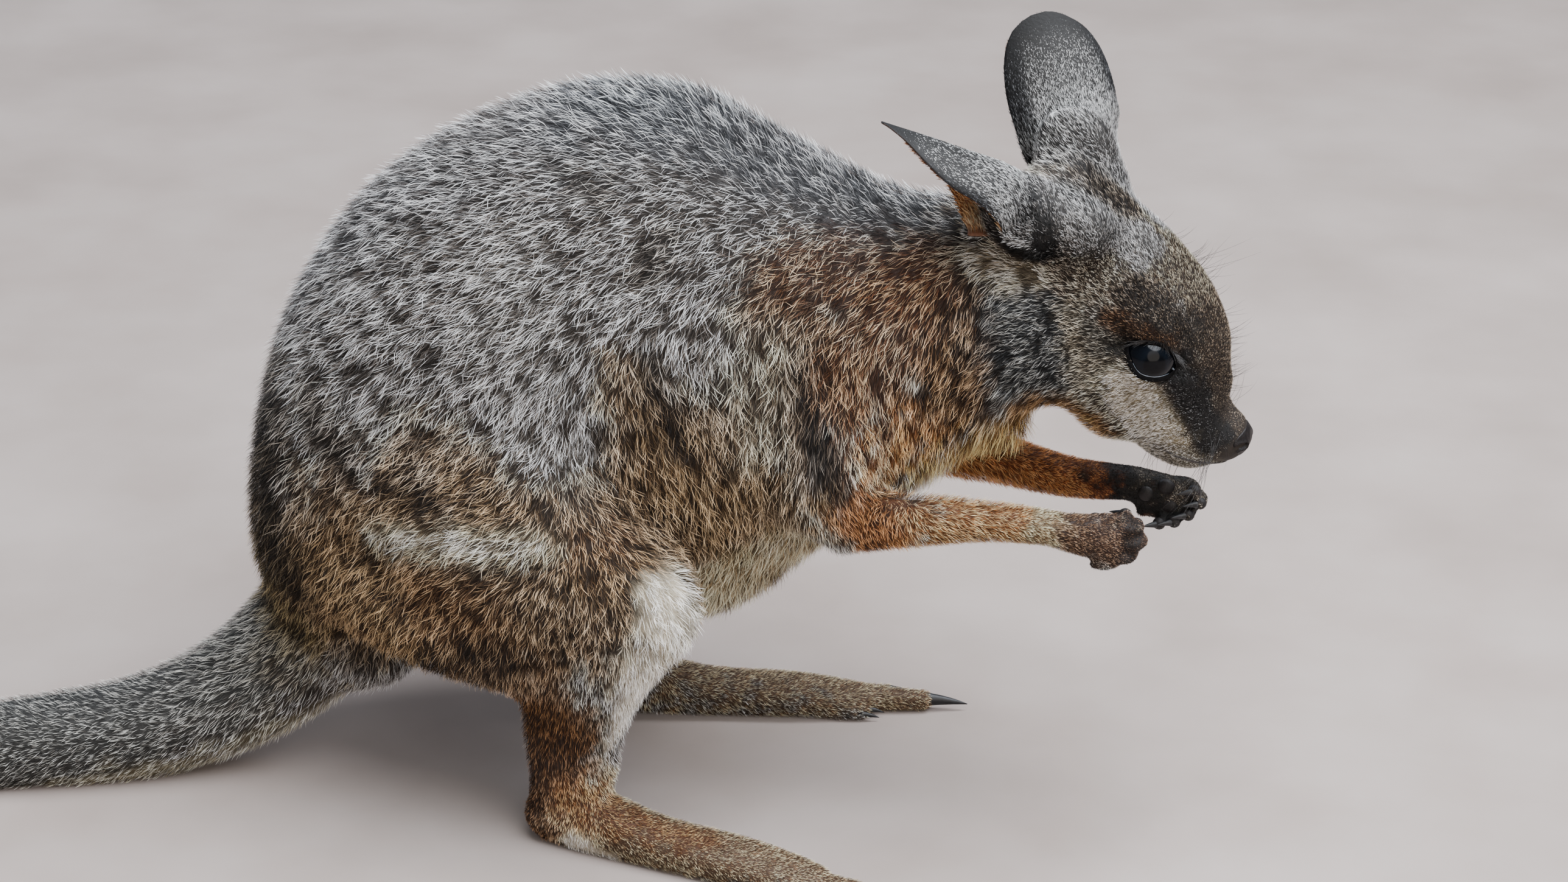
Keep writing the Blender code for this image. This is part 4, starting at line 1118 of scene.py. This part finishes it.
def earCoat(side):
    # short flat hair over the back of the ear pointing to its tip, longest at its foot
    count = ears["hairs"]
    share, across = draw.uniform(0, 0.995, count), draw.uniform(-1, 1, count)
    wide = np.interp(share, *np.array(ears[side]["form"]).T[[0, 2]])
    keep = draw.random(count) < np.minimum(wide / wide.max() * 1.15, 1)
    share, across = share[keep], across[keep]
    inset = ears["coat"] + 0 * share
    root, out, _ = earAt(side, share, across * 0.98, inset)
    lie = unit(earAt(side, share + 0.004, across * 0.98, inset)[0] - root)
    out = unit(onSurface(out, lie))
    length = np.interp(share, *np.array(ears["hairLength"]).T)
    growCoat("coatEar_" + side, root, out, lie, length, earTints(side, share, across),
             np.stack([across, share * 1.6], 1), ruffle=0.7, patchy=0.3, rise=(16, 9),
             width=ears["hairWidth"][0] + 0 * share)


def earInside(side):
    # long buff hair inside, thickest along the edges, pointing to the tip and inwards
    count = ears["insideHairs"]
    share = draw.uniform(0.01, 0.9, count)
    across = np.sign(draw.random(count) - 0.5) * (1 - draw.random(count) ** 1.3 * 0.95)
    thick = earThickness(share)
    root, out, axis = earAt(side, share, across * 0.97, thick - 0.2)
    lie = unit(axis * 0.9 - np.cross(axis, out) * (np.sign(across) * 0.3)[:, None])
    buff, pale = (tones(k) for k in ("earBuff", "cream"))
    mix = (draw.random(count) * 0.5 * (1 - smooth(0.2, 0.5, share)))[:, None]
    tints = (buff + (pale - buff) * mix) * (1 - 0.6 * smooth(0.5, 0.9, share))[:, None]
    growCoat("coatEarInside_" + side, root, -out, lie, 8.5 - 5 * share, tints,
             np.stack([across, share * 1.6], 1), ruffle=0.7, patchy=0.1, rise=(26, 12),
             width=ears["hairWidth"][1] + 0 * share)


for side in sides:
    earPiece(side)
    earCoat(side)
    earInside(side)
print("ears done")


def closedSweep(centres, across, up, a, b, count=12):
    # ellipses of half sizes a and b along a path, closed by a point at each end
    turn = 2 * np.pi * np.arange(count) / count
    ring = (centres[:, None] + across[:, None] * (a[:, None] * np.cos(turn))[..., None]
            + up[:, None] * (b[:, None] * np.sin(turn))[..., None])
    points = np.vstack([ring.reshape(-1, 3), centres[:1], centres[-1:]])
    return points, gridFaces(len(centres), count), capFans(len(centres), count)


def spikes(roots, way, length, radius, bend, rings=7, around=5):
    # many thin curved cones: root, direction, length, radius and sideways bend of each
    count = len(roots)
    t = np.linspace(0, 1, rings)
    way = unit(way)
    path = (roots[:, None] + way[:, None] * (length[:, None] * t)[..., None]
            + bend[:, None] * (length[:, None] * t ** 2)[..., None])
    across = unit(np.cross(way, (0.31, 0.22, 0.93)))
    up = np.cross(way, across)
    turn = 2 * np.pi * np.arange(around) / around
    wide = radius[:, None] * (1 - t) ** 0.8
    ring = path[:, :, None] + wide[:, :, None, None] * (across[:, None, None] * np.cos(turn)[:, None]
                                                        + up[:, None, None] * np.sin(turn)[:, None])
    points = np.concatenate([ring[:, :-1].reshape(count, -1, 3), path[:, :1], path[:, -1:]], 1)
    first = np.arange(count)[:, None, None] * points.shape[1]
    quads, ends = gridFaces(rings - 1, around) + first, capFans(rings - 1, around) + first
    return points.reshape(-1, 3), quads.reshape(-1, 4), ends.reshape(-1, 3)


def bareMaterial(name, dark, light, grain, roughness, depth, specular=0.5, coatWeight=0.0):
    # bare hide or horn: two close tones in a fine pattern of the given size in mm, with its relief
    material, shader = newMaterial(name)
    place = addNode(material, "ShaderNodeTexCoord")
    cells = addNode(material, "ShaderNodeTexVoronoi", None, {"Vector": (place, "Object"),
                                                            "Scale": 1000 / grain})
    cloud = addNode(material, "ShaderNodeTexNoise", None, {"Vector": (place, "Object"), "Scale": 350 / grain,
                                                          "Detail": 4.0})
    tone = addNode(material, "ShaderNodeValToRGB", None, {"Fac": (cloud, "Fac")},
                   [(0.35, colour4(dark)), (0.65, colour4(light))])
    joinTo(material, tone, "Color", shader, "Base Color")
    relief = addNode(material, "ShaderNodeBump", None, {"Height": (cells, "Distance"), "Strength": 0.6,
                                                        "Distance": depth * mm})
    joinTo(material, relief, "Normal", shader, "Normal")
    setShader(shader, Roughness=roughness, Specular_IOR_Level=specular, Coat_Weight=coatWeight)
    return material


def settle(piece, slot, *nodes):
    # every piece is on the one body; the nodes are those that it stands in for
    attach(piece, "root")
    if nodes:
        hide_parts(*nodes)


eyeParts = {
    "rings": 63, "around": 96, "cornea": 0.35, "rimRings": 12, "rimGap": 0.3,
    # wet line: radius, and where it starts and ends along the lower lid in degrees
    "wetLine": 0.2, "wetFrom": (-40, 44), "cornerAt": (52, 1), "cornerHalf": (0.8, 0.4, 0.4),
    "lashes": 64, "lashFrom": (-50, 48), "lashLength": (5.0, 9.0), "lashRadius": 0.09,
}


def eyeMaterial():
    # living eye: clear wet cornea over a near-black pupil and an iris hardly lighter, so that it
    # reads as a dark bead with one soft glint
    material, shader = newMaterial("wetDarkEye")
    place = addNode(material, "ShaderNodeAttribute", {"attribute_name": "fromGaze"})
    ring = addNode(material, "ShaderNodeValToRGB", None, {"Fac": (place, "Fac")},
                   [(0.22, (0.0008, 0.001, 0.0016, 1)), (0.3, (0.002, 0.003, 0.005, 1)),
                    (0.58, (0.001, 0.0014, 0.0025, 1))])
    joinTo(material, ring, "Color", shader, "Base Color")
    setShader(shader, Roughness=0.12, IOR=1.24)
    return material


def eyePiece(side, sign):
    # sphere about the gaze, with the cornea rising in the middle
    rings, around, rise = eyeParts["rings"], eyeParts["around"], eyeParts["cornea"]
    lat, lon = np.meshgrid(np.linspace(0, np.pi, rings + 2)[1:-1], np.linspace(0, 2 * np.pi, around + 1)[:-1],
                           indexing="ij")
    out, ahead, up = eyeAxes(sign)
    r = eyeBall["radius"] + rise * smooth(0.9, 0.2, lat)
    way = (np.cos(lat)[..., None] * out + (np.sin(lat) * np.cos(lon))[..., None] * ahead
           + (np.sin(lat) * np.sin(lon) * sign)[..., None] * up)
    poles = np.stack([out * (eyeBall["radius"] + rise), -out * eyeBall["radius"]])
    points = np.vstack([(way * r[..., None]).reshape(-1, 3), poles])
    points = inHead(points + eyeMiddle(sign))
    quads, ends = gridFaces(rings, around), capFans(rings, around)
    if np.dot(np.cross(points[1] - points[0], points[around] - points[0]), points[0] - points.mean(0)) < 0:
        quads, ends = quads[:, ::-1], ends[:, ::-1]
    piece = makeMesh("eyeBall_" + side, points, quads, ends, material=eyeShine)
    layer = piece.data.attributes.new("fromGaze", "FLOAT", "POINT")
    layer.data.foreach_set("value", np.concatenate([(lat / np.pi * 2).ravel(), [0, 2]]).astype(np.float32))
    settle(piece, "eye", "eye_" + side)


def lidRim(sign):
    # black hairless lid margin: a rounded band from the lid edge outwards, widest at the corners
    edge = lidEdge()
    run = unit(np.roll(edge, -1, 0) - np.roll(edge, 1, 0))
    away = np.stack([-run[:, 1], run[:, 0]], 1)
    n, rings = len(edge), eyeParts["rimRings"]
    s = 2 * np.pi * np.arange(rings) / rings
    # broad at the two corners, narrow under the brow
    corners = smooth(36, 57, abs(edge[:, 0] + 2))
    wide = lids["band"] * (0.75 - 0.2 * smooth(10, 40, edge[:, 1]) + 1.5 * corners)
    spread = 0.5 - 0.5 * np.cos(s)
    p = edge[:, None, 0] + away[:, None, 0] * wide[:, None] * spread
    q = edge[:, None, 1] + away[:, None, 1] * wide[:, None] * spread
    r = eyeBall["radius"] + eyeParts["rimGap"] + lids["thickness"] * np.sin(s) * np.ones((n, 1)) + spread
    points = inHead(onEye(sign, p, q, r)).reshape(-1, 3)
    a = np.arange(n)[:, None] * rings
    k = np.arange(rings)
    b = (a + rings) % (n * rings)
    quads = np.stack([a + k, a + (k + 1) % rings, b + (k + 1) % rings, b + k], -1).reshape(-1, 4)
    return points, quads if sign > 0 else quads[:, ::-1]


def eyeTrim(side, sign):
    # lid margin, wet lid edge with the fleshy inner corner, and lashes
    settle(makeMesh("lidRim_" + side, *lidRim(sign), material=lidSkin), "nose_skin")
    # wet line along the lower lid and the small fleshy inner corner
    p = np.linspace(*eyeParts["wetFrom"], 40)
    edge = lidEdge()
    low = edge[np.argsort(edge[:, 0])]
    low = low[low[:, 1] < 9]
    q = np.interp(p, low[:, 0], low[:, 1]) + 1.2
    path = inHead(onEye(sign, p, q, eyeBall["radius"] + 0.28 + 0 * p))
    _, across, up = ringFrames(path, (0.2, 0.3, 1))
    width = eyeParts["wetLine"] * np.sin(np.linspace(0.15, np.pi - 0.15, 40)) ** 0.5
    wet = closedSweep(path, across, up, width, width, 8)
    flesh = ball(inHead(onEye(sign, *np.array(eyeParts["cornerAt"], float), eyeBall["radius"] + 0.1)),
                 eyeParts["cornerHalf"], 20)
    settle(makeMesh("lidWet_" + side, *together([wet, flesh]), material=wetFlesh), "nose_skin")
    # lashes: from the upper lid out and down over the ball
    count = eyeParts["lashes"]
    p = draw.uniform(*eyeParts["lashFrom"], count)
    top = edge[np.argsort(edge[:, 0])]
    top = top[top[:, 1] > -2]
    q = np.interp(p, top[:, 0], top[:, 1]) + draw.uniform(1.5, 7, count)
    root = onEye(sign, p, q, eyeBall["radius"] + 1.1 + 0 * p)
    out, ahead, up = eyeAxes(sign)
    away = unit(root - eyeMiddle(sign))
    way = away * 0.75 - up * 0.35 + ahead * (p / 110)[:, None] + draw.normal(0, 0.08, (count, 3))
    length = draw.uniform(*eyeParts["lashLength"], count)
    lash = spikes(inHead(root), way @ headTurn.T, length, np.full(count, eyeParts["lashRadius"]),
                  np.tile((-up * 0.35) @ headTurn.T, (count, 1)))
    settle(makeMesh("lashes_" + side, *lash, material=darkHair), "fur")


eyeShine = eyeMaterial()
# eyelid margin: moist black hide, creased every half millimetre
lidSkin = bareMaterial("blackLidHide", "#020202", "#070607", 0.5, 0.85, 0.06, 0.08)
# inner corner and lid edge: wet blue-grey flesh
wetFlesh = bareMaterial("wetLidFlesh", "#30353b", "#4d545c", 0.6, 0.15, 0.03)
# single stiff hairs: black-brown horn, slightly glossy
darkHair = bareMaterial("stiffDarkHair", "#0a0808", "#1d1713", 0.8, 0.4, 0.02)
for side, sign in sides.items():
    eyePiece(side, sign)
    eyeTrim(side, sign)
print("eyes done")


nose = {"from": (44.0, 0.0, -15.0), "across": 42.0, "top": 30.0, "bottom": 21.0, "proud": 0.45,
        "grid": (97, 81), "nostril": [(22, 11), (31, 7), (35, 0)], "nostrilReach": 6.0,
        "nostrilDepth": 2.8, "nostrilRim": 0.5,
        # bulges over the nostrils: height, place and spread in degrees; the groove's depth and width
        "bulge": (0.7, 20, 14, 14), "groove": (0.9, 2.2), "depth": 4.8}
mouth = {"path": [(61, 0.5, -24.5), (58, 5.5, -25.5), (52, 10, -27), (44, 13.5, -30), (36, 16.5, -33.5),
                  (29, 19, -37)], "radius": 0.75}


def noseRadius(way):
    # distance from the middle of the muzzle to the skin in each direction, averaged from its points
    head = toHead(skinPoints) - np.array(nose["from"])
    r = np.linalg.norm(head, axis=1)
    near = (r < 26) & (head[:, 0] > -2)
    head, r = head[near], r[near]
    n = head / r[:, None]
    flat = way.reshape(-1, 3)
    result = np.empty(len(flat))
    for start in range(0, len(flat), 2000):
        part = slice(start, start + 2000)
        weight = np.exp((flat[part] @ n.T - 1) * 260)
        result[part] = (weight @ r) / weight.sum(1)
    return result.reshape(way.shape[:-1])


def noseWay(side, rise):
    # direction from the middle of the muzzle by angles to the side and upwards
    a, b = np.radians(side), np.radians(rise)
    return np.stack([np.cos(a) * np.cos(b), np.sin(a) * np.cos(b), np.sin(b)], -1)


def nosePad():
    # pad over the muzzle tip: broad and rounded above, narrow at the lip, a comma-shaped nostril each
    # side and a groove down the middle; outer and inner face make one closed piece
    u, v = np.meshgrid(*(np.linspace(-1, 1, count) for count in nose["grid"]), indexing="ij")
    # disk to square map keeps the rim smooth
    x, y = u * np.sqrt(1 - v * v / 2), v * np.sqrt(1 - u * u / 2)
    taper = 1 - 0.42 * smooth(0.1, -1, y)
    side = x * nose["across"] * taper
    rise = np.where(y > 0, y * nose["top"], y * nose["bottom"]) + 6
    way = noseWay(side, rise)
    skin = noseRadius(way)
    rim = np.sqrt(np.clip(x * x + y * y, 0, 1))
    height, outwards, upwards, spread = nose["bulge"]
    swell = nose["proud"] * np.sqrt(np.clip(1 - rim ** 3, 0, 1))
    swell += height * np.exp(-((abs(side) - outwards) / spread) ** 2 - ((rise - upwards) / spread) ** 2)
    swell -= nose["groove"][0] * np.exp(-(side / nose["groove"][1]) ** 2) * smooth(14, 2, rise)
    path = through(nose["nostril"], 8)
    reach = np.full(side.shape, 99.0)
    for start, end in zip(path[:-1], path[1:]):
        spot = np.stack([abs(side) - start[0], rise - start[1]], -1)
        step = end - start
        t = np.clip(spot @ step / (step @ step), 0, 1)
        reach = np.minimum(reach, np.linalg.norm(spot - t[..., None] * step, axis=-1))
    hole = smooth(nose["nostrilReach"], nose["nostrilReach"] * 0.35, reach)
    swell += nose["nostrilRim"] * np.exp(-((reach - nose["nostrilReach"]) / 3) ** 2) * (rim < 0.97)
    swell -= nose["nostrilDepth"] * hole
    outer = way * (skin + swell * (rim < 0.999))[..., None] + nose["from"]
    inner = way * (skin - nose["depth"] * np.clip(1 - rim ** 4, 0, 1) - 0.05)[..., None] + nose["from"]
    n, m = side.shape
    grid = np.arange(n * m).reshape(n, m)
    front = np.stack([grid[:-1, :-1], grid[1:, :-1], grid[1:, 1:], grid[:-1, 1:]], -1).reshape(-1, 4)
    back = front[:, ::-1] + n * m
    rimLine = np.concatenate([grid[:-1, 0], grid[-1, :-1], grid[:0:-1, -1], grid[0, :0:-1]])
    after = np.roll(rimLine, -1)
    wall = np.stack([after, rimLine, rimLine + n * m, after + n * m], 1)
    points = inHead(np.vstack([outer.reshape(-1, 3), inner.reshape(-1, 3)]))
    piece = makeMesh("nosePad", points, np.vstack([front, back, wall]), material=noseHide)
    settle(piece, "nose_skin", "nose")


def mouthLine(sign):
    # dark lip edge following the skin from under the pad back to the corner of the mouth
    aim = through(np.array(mouth["path"]) * (1, sign, 1), 6)
    head = toHead(skinPoints)
    front = head[head[:, 0] > 15]
    close = np.argsort(((aim[:, None] - front[None]) ** 2).sum(-1), 1)[:, :6]
    path = inHead(through(front[close].mean(1)[::3], 4))
    _, across, up = ringFrames(path, headTurn @ (0, 0, 1.0))
    s = np.linspace(0, 1, len(path))
    wide = mouth["radius"] * np.sin(np.clip(s + 0.06, 0, 1) * np.pi * 0.96) ** 0.4
    return closedSweep(path, across, up, wide, wide * 0.9, 10)


# bare nose: cool black-brown hide in cobbles 0.45 mm across, slightly moist
noseHide = bareMaterial("noseHide", "#060404", "#100b0b", 0.45, 0.5, 0.12, 0.2)
lipHide = bareMaterial("lipHide", "#0c0a0a", "#211a19", 0.6, 0.45, 0.05)
nosePad()
settle(makeMesh("lipEdge", *together([mouthLine(-1), mouthLine(1)]), material=lipHide), "nose_skin")
print("nose done")


claws = {"handRadius": 1.35, "handDrop": 0.4, "footSwell": 0.45, "rings": 14, "around": 12,
         "pad": (2.7, 2.2, 2.7), "palmPads": ((4, 4.5, 3.6), (6, -4, 3.8), (-4, 1, 3.6))}


def clawTube(root, way, length, radius, drop):
    # curved taper with a rounded foot and a sharp tip, deeper than wide
    root, way = np.asarray(root, float), unit(np.asarray(way, float))
    t = np.linspace(-0.12, 1, claws["rings"])
    path = root + way * (length * t)[:, None] - np.array([0, 0, drop]) * (np.clip(t, 0, 1) ** 2)[:, None]
    _, across, up = ringFrames(path, np.cross(way, (0, 0, 1)))
    wide = radius * np.clip(1 - np.clip(t, 0, 1), 0.02, 1) ** 0.75 * np.where(t < 0, 0.7, 1.0)
    return closedSweep(path, across, up, wide, wide * 1.3, claws["around"])


def allClaws():
    # the claws of each hand and foot as one piece, and the pads of each hand
    for side, sign in sides.items():
        ahead = onFoot(side, 1, 0, 0) - onFoot(side, 0, 0, 0)
        shapes, names = [], []
        for toe, (_, tip, _, end, height, radius, length) in leg["toes"].items():
            root = onFoot(side, end - 1, tip, height - 0.8)
            shapes.append(clawTube(root, ahead, length, radius * claws["footSwell"], height * 0.35))
            names.append(f"claw_foot_{toe}_{side}")
        settle(makeMesh("clawsFoot_" + side, *together(shapes), material=clawHorn), "claw", *names)
        shapes, names, pads = [], [], []
        order = ("first", "second", "third", "fourth", "fifth")
        for digit, (knuckle, tip) in zip(order, np.array(arm["digits"][side])):
            shapes.append(clawTube(tip, arm["clawDirection"][side], arm["claw"], claws["handRadius"],
                                   claws["handDrop"]))
            names.append(f"claw_hand_{digit}_{side}")
            pads.append(ball(tip + (0, sign * 0.6, 0), claws["pad"], 20))
        settle(makeMesh("clawsHand_" + side, *together(shapes), material=clawHorn), "claw", *names)
        wrist = np.array(arm["palm"][side][1][:3])
        for x, z, r in claws["palmPads"]:
            pads.append(ball(wrist + (x, -sign * 4.0, z), (r, 2.4, r), 20))
        settle(makeMesh("handPads_" + side, *together(pads), material=padHide), "nose_skin")


# claw: dull black horn, streaked lengthways, a little paler at the edge
clawHorn = bareMaterial("blackClawHorn", "#08080a", "#191a1e", 0.9, 0.45, 0.03, 0.35)
# palm and finger pads: thick black leathery hide in 0.7 mm cobbles
padHide = bareMaterial("padHide", "#090808", "#171314", 0.7, 0.6, 0.12, 0.3)
allClaws()
print("claws done")


singles = {
    # in head axes: start and end of the row, how many, direction, length, bend
    "whiskerRows": [((44, 12, -18), (50, 10, -24), 16, (0.35, 0.8, -0.45), (26, 40), (-0.25, 0.0, -0.2)),
                    ((40, 13, -12), (47, 11, -14), 8, (0.2, 0.9, 0.1), (22, 34), (-0.3, 0, -0.1))],
    "browRows": [((-6, 20, 18), (2, 18, 16), 7, (0.55, 0.25, 0.8), (16, 30), (-0.1, 0, 0.1)),
                 ((-30, 14, 32), (10, 8, 20), 26, (0.45, 0.3, 0.85), (6, 13), (-0.3, 0, 0)),
                 ((12, 5, 16), (38, 4, 2), 26, (0.5, 0.2, 0.85), (5, 13), (-0.15, 0, 0.05)),
                 ((28, 13, -42), (46, 9, -36), 14, (0.35, 0.3, -0.9), (7, 14), (0.1, 0, -0.1))],
    "radius": 0.075,
}


def singleHairs():
    # each hair starts on the nearest skin point
    head = toHead(skinPoints)
    roots, ways, lengths, bends = [], [], [], []
    for start, end, count, way, reach, bend in singles["whiskerRows"] + singles["browRows"]:
        for sign in (-1, 1):
            spot = np.array(start) + (np.array(end) - start) * draw.random((count, 1))
            spot = (spot + draw.normal(0, 1.6, (count, 3))) * (1, sign, 1)
            close = ((spot[:, None] - head[None]) ** 2).sum(-1).argmin(1)
            roots.append(head[close])
            ways.append(unit(np.array(way) + draw.normal(0, 0.16, (count, 3))) * (1, sign, 1))
            lengths.append(draw.uniform(*reach, count))
            bends.append(np.tile(bend, (count, 1)) * (1, sign, 1))
    roots, ways, lengths, bends = (np.concatenate(v) for v in (roots, ways, lengths, bends))
    shape = spikes(inHead(roots), ways @ headTurn.T, lengths, np.full(len(roots), singles["radius"]),
                   bends @ headTurn.T, rings=10)
    settle(makeMesh("longHairs", *shape, material=darkHair), "fur")


singleHairs()
print("long hairs done")


ground = {"dark": "#857a74", "light": "#958b86", "reach": 3}
# place, aim, size, power and colour of each lamp
lamps = {"skyLight": ((0.75, -0.35, 1.95), (0, 0, 0.15), 2.3, 236, "#eef2f8"),
         "frontLight": ((0.9, -2.0, 0.9), (0, 0, 0.15), 2.2, 34, "#fff3e4"),
         "rimLight": ((-1.2, 1.5, 1.3), (0, 0, 0.2), 0.9, 14, "#dce8ff")}
air = {"colour": "#cfd6de", "strength": 0.5}
camera = {"azimuth": 9.0, "elevation": 25.0, "distance": 1.484, "target": (0, 0, 158), "frameWidth": 0.628,
          "sensor": 36, "near": 0.05}


def groundMaterial():
    # pale warm grey floor, matt, faintly mottled
    material, shader = newMaterial("paleFloor")
    place = addNode(material, "ShaderNodeTexCoord")
    cloud = addNode(material, "ShaderNodeTexNoise", None, {"Vector": (place, "Object"), "Scale": 9.0,
                                                          "Detail": 5.0})
    tone = addNode(material, "ShaderNodeValToRGB", None, {"Fac": (cloud, "Fac")},
                   [(0.3, colour4(ground["dark"])), (0.7, colour4(ground["light"]))])
    joinTo(material, tone, "Color", shader, "Base Color")
    setShader(shader, Roughness=0.9, Specular_IOR_Level=0.2)
    return material


corners = np.array([(-1, -1, 0), (1, -1, 0), (1, 1, 0), (-1, 1, 0)], float) * ground["reach"]
floor = makeMesh("floor", corners, np.array([(0, 1, 2, 3)]), material=groundMaterial(), place=False)


def lamp(name, at, aim, size, power, tint):
    # round soft lamp at a place, turned to its aim; size in metres, power in watts
    light = bpy.data.lights.new(name, "AREA")
    light.shape, light.size = "DISK", size
    light.energy, light.color = power, linear(tint)
    thing = bpy.data.objects.new(name, light)
    bpy.context.collection.objects.link(thing)
    thing.location = at
    thing.rotation_euler = (Vector(at) - Vector(aim)).to_track_quat("Z", "Y").to_euler()


for name, settings in lamps.items():
    lamp(name, *settings)
world = bpy.data.worlds.new("studio")
bpy.context.scene.world = world
world.use_nodes = True
background = world.node_tree.nodes["Background"]
background.inputs["Color"].default_value = colour4(air["colour"])
background.inputs["Strength"].default_value = air["strength"]

az, el = np.radians(camera["azimuth"]), np.radians(camera["elevation"])
backward = np.array([np.sin(az) * np.cos(el), -np.cos(az) * np.cos(el), np.sin(el)])
lens = bpy.data.cameras.new("camera")
lens.sensor_width = camera["sensor"]
lens.lens = camera["sensor"] * camera["distance"] / camera["frameWidth"]
lens.clip_start = camera["near"]
viewer = bpy.data.objects.new("camera", lens)
bpy.context.collection.objects.link(viewer)
viewer.location = np.array(camera["target"]) * mm + shift + backward * camera["distance"]
viewer.rotation_euler = Vector(backward).to_track_quat("Z", "Y").to_euler()
bpy.context.scene.camera = viewer
print("stage, lights and camera done")
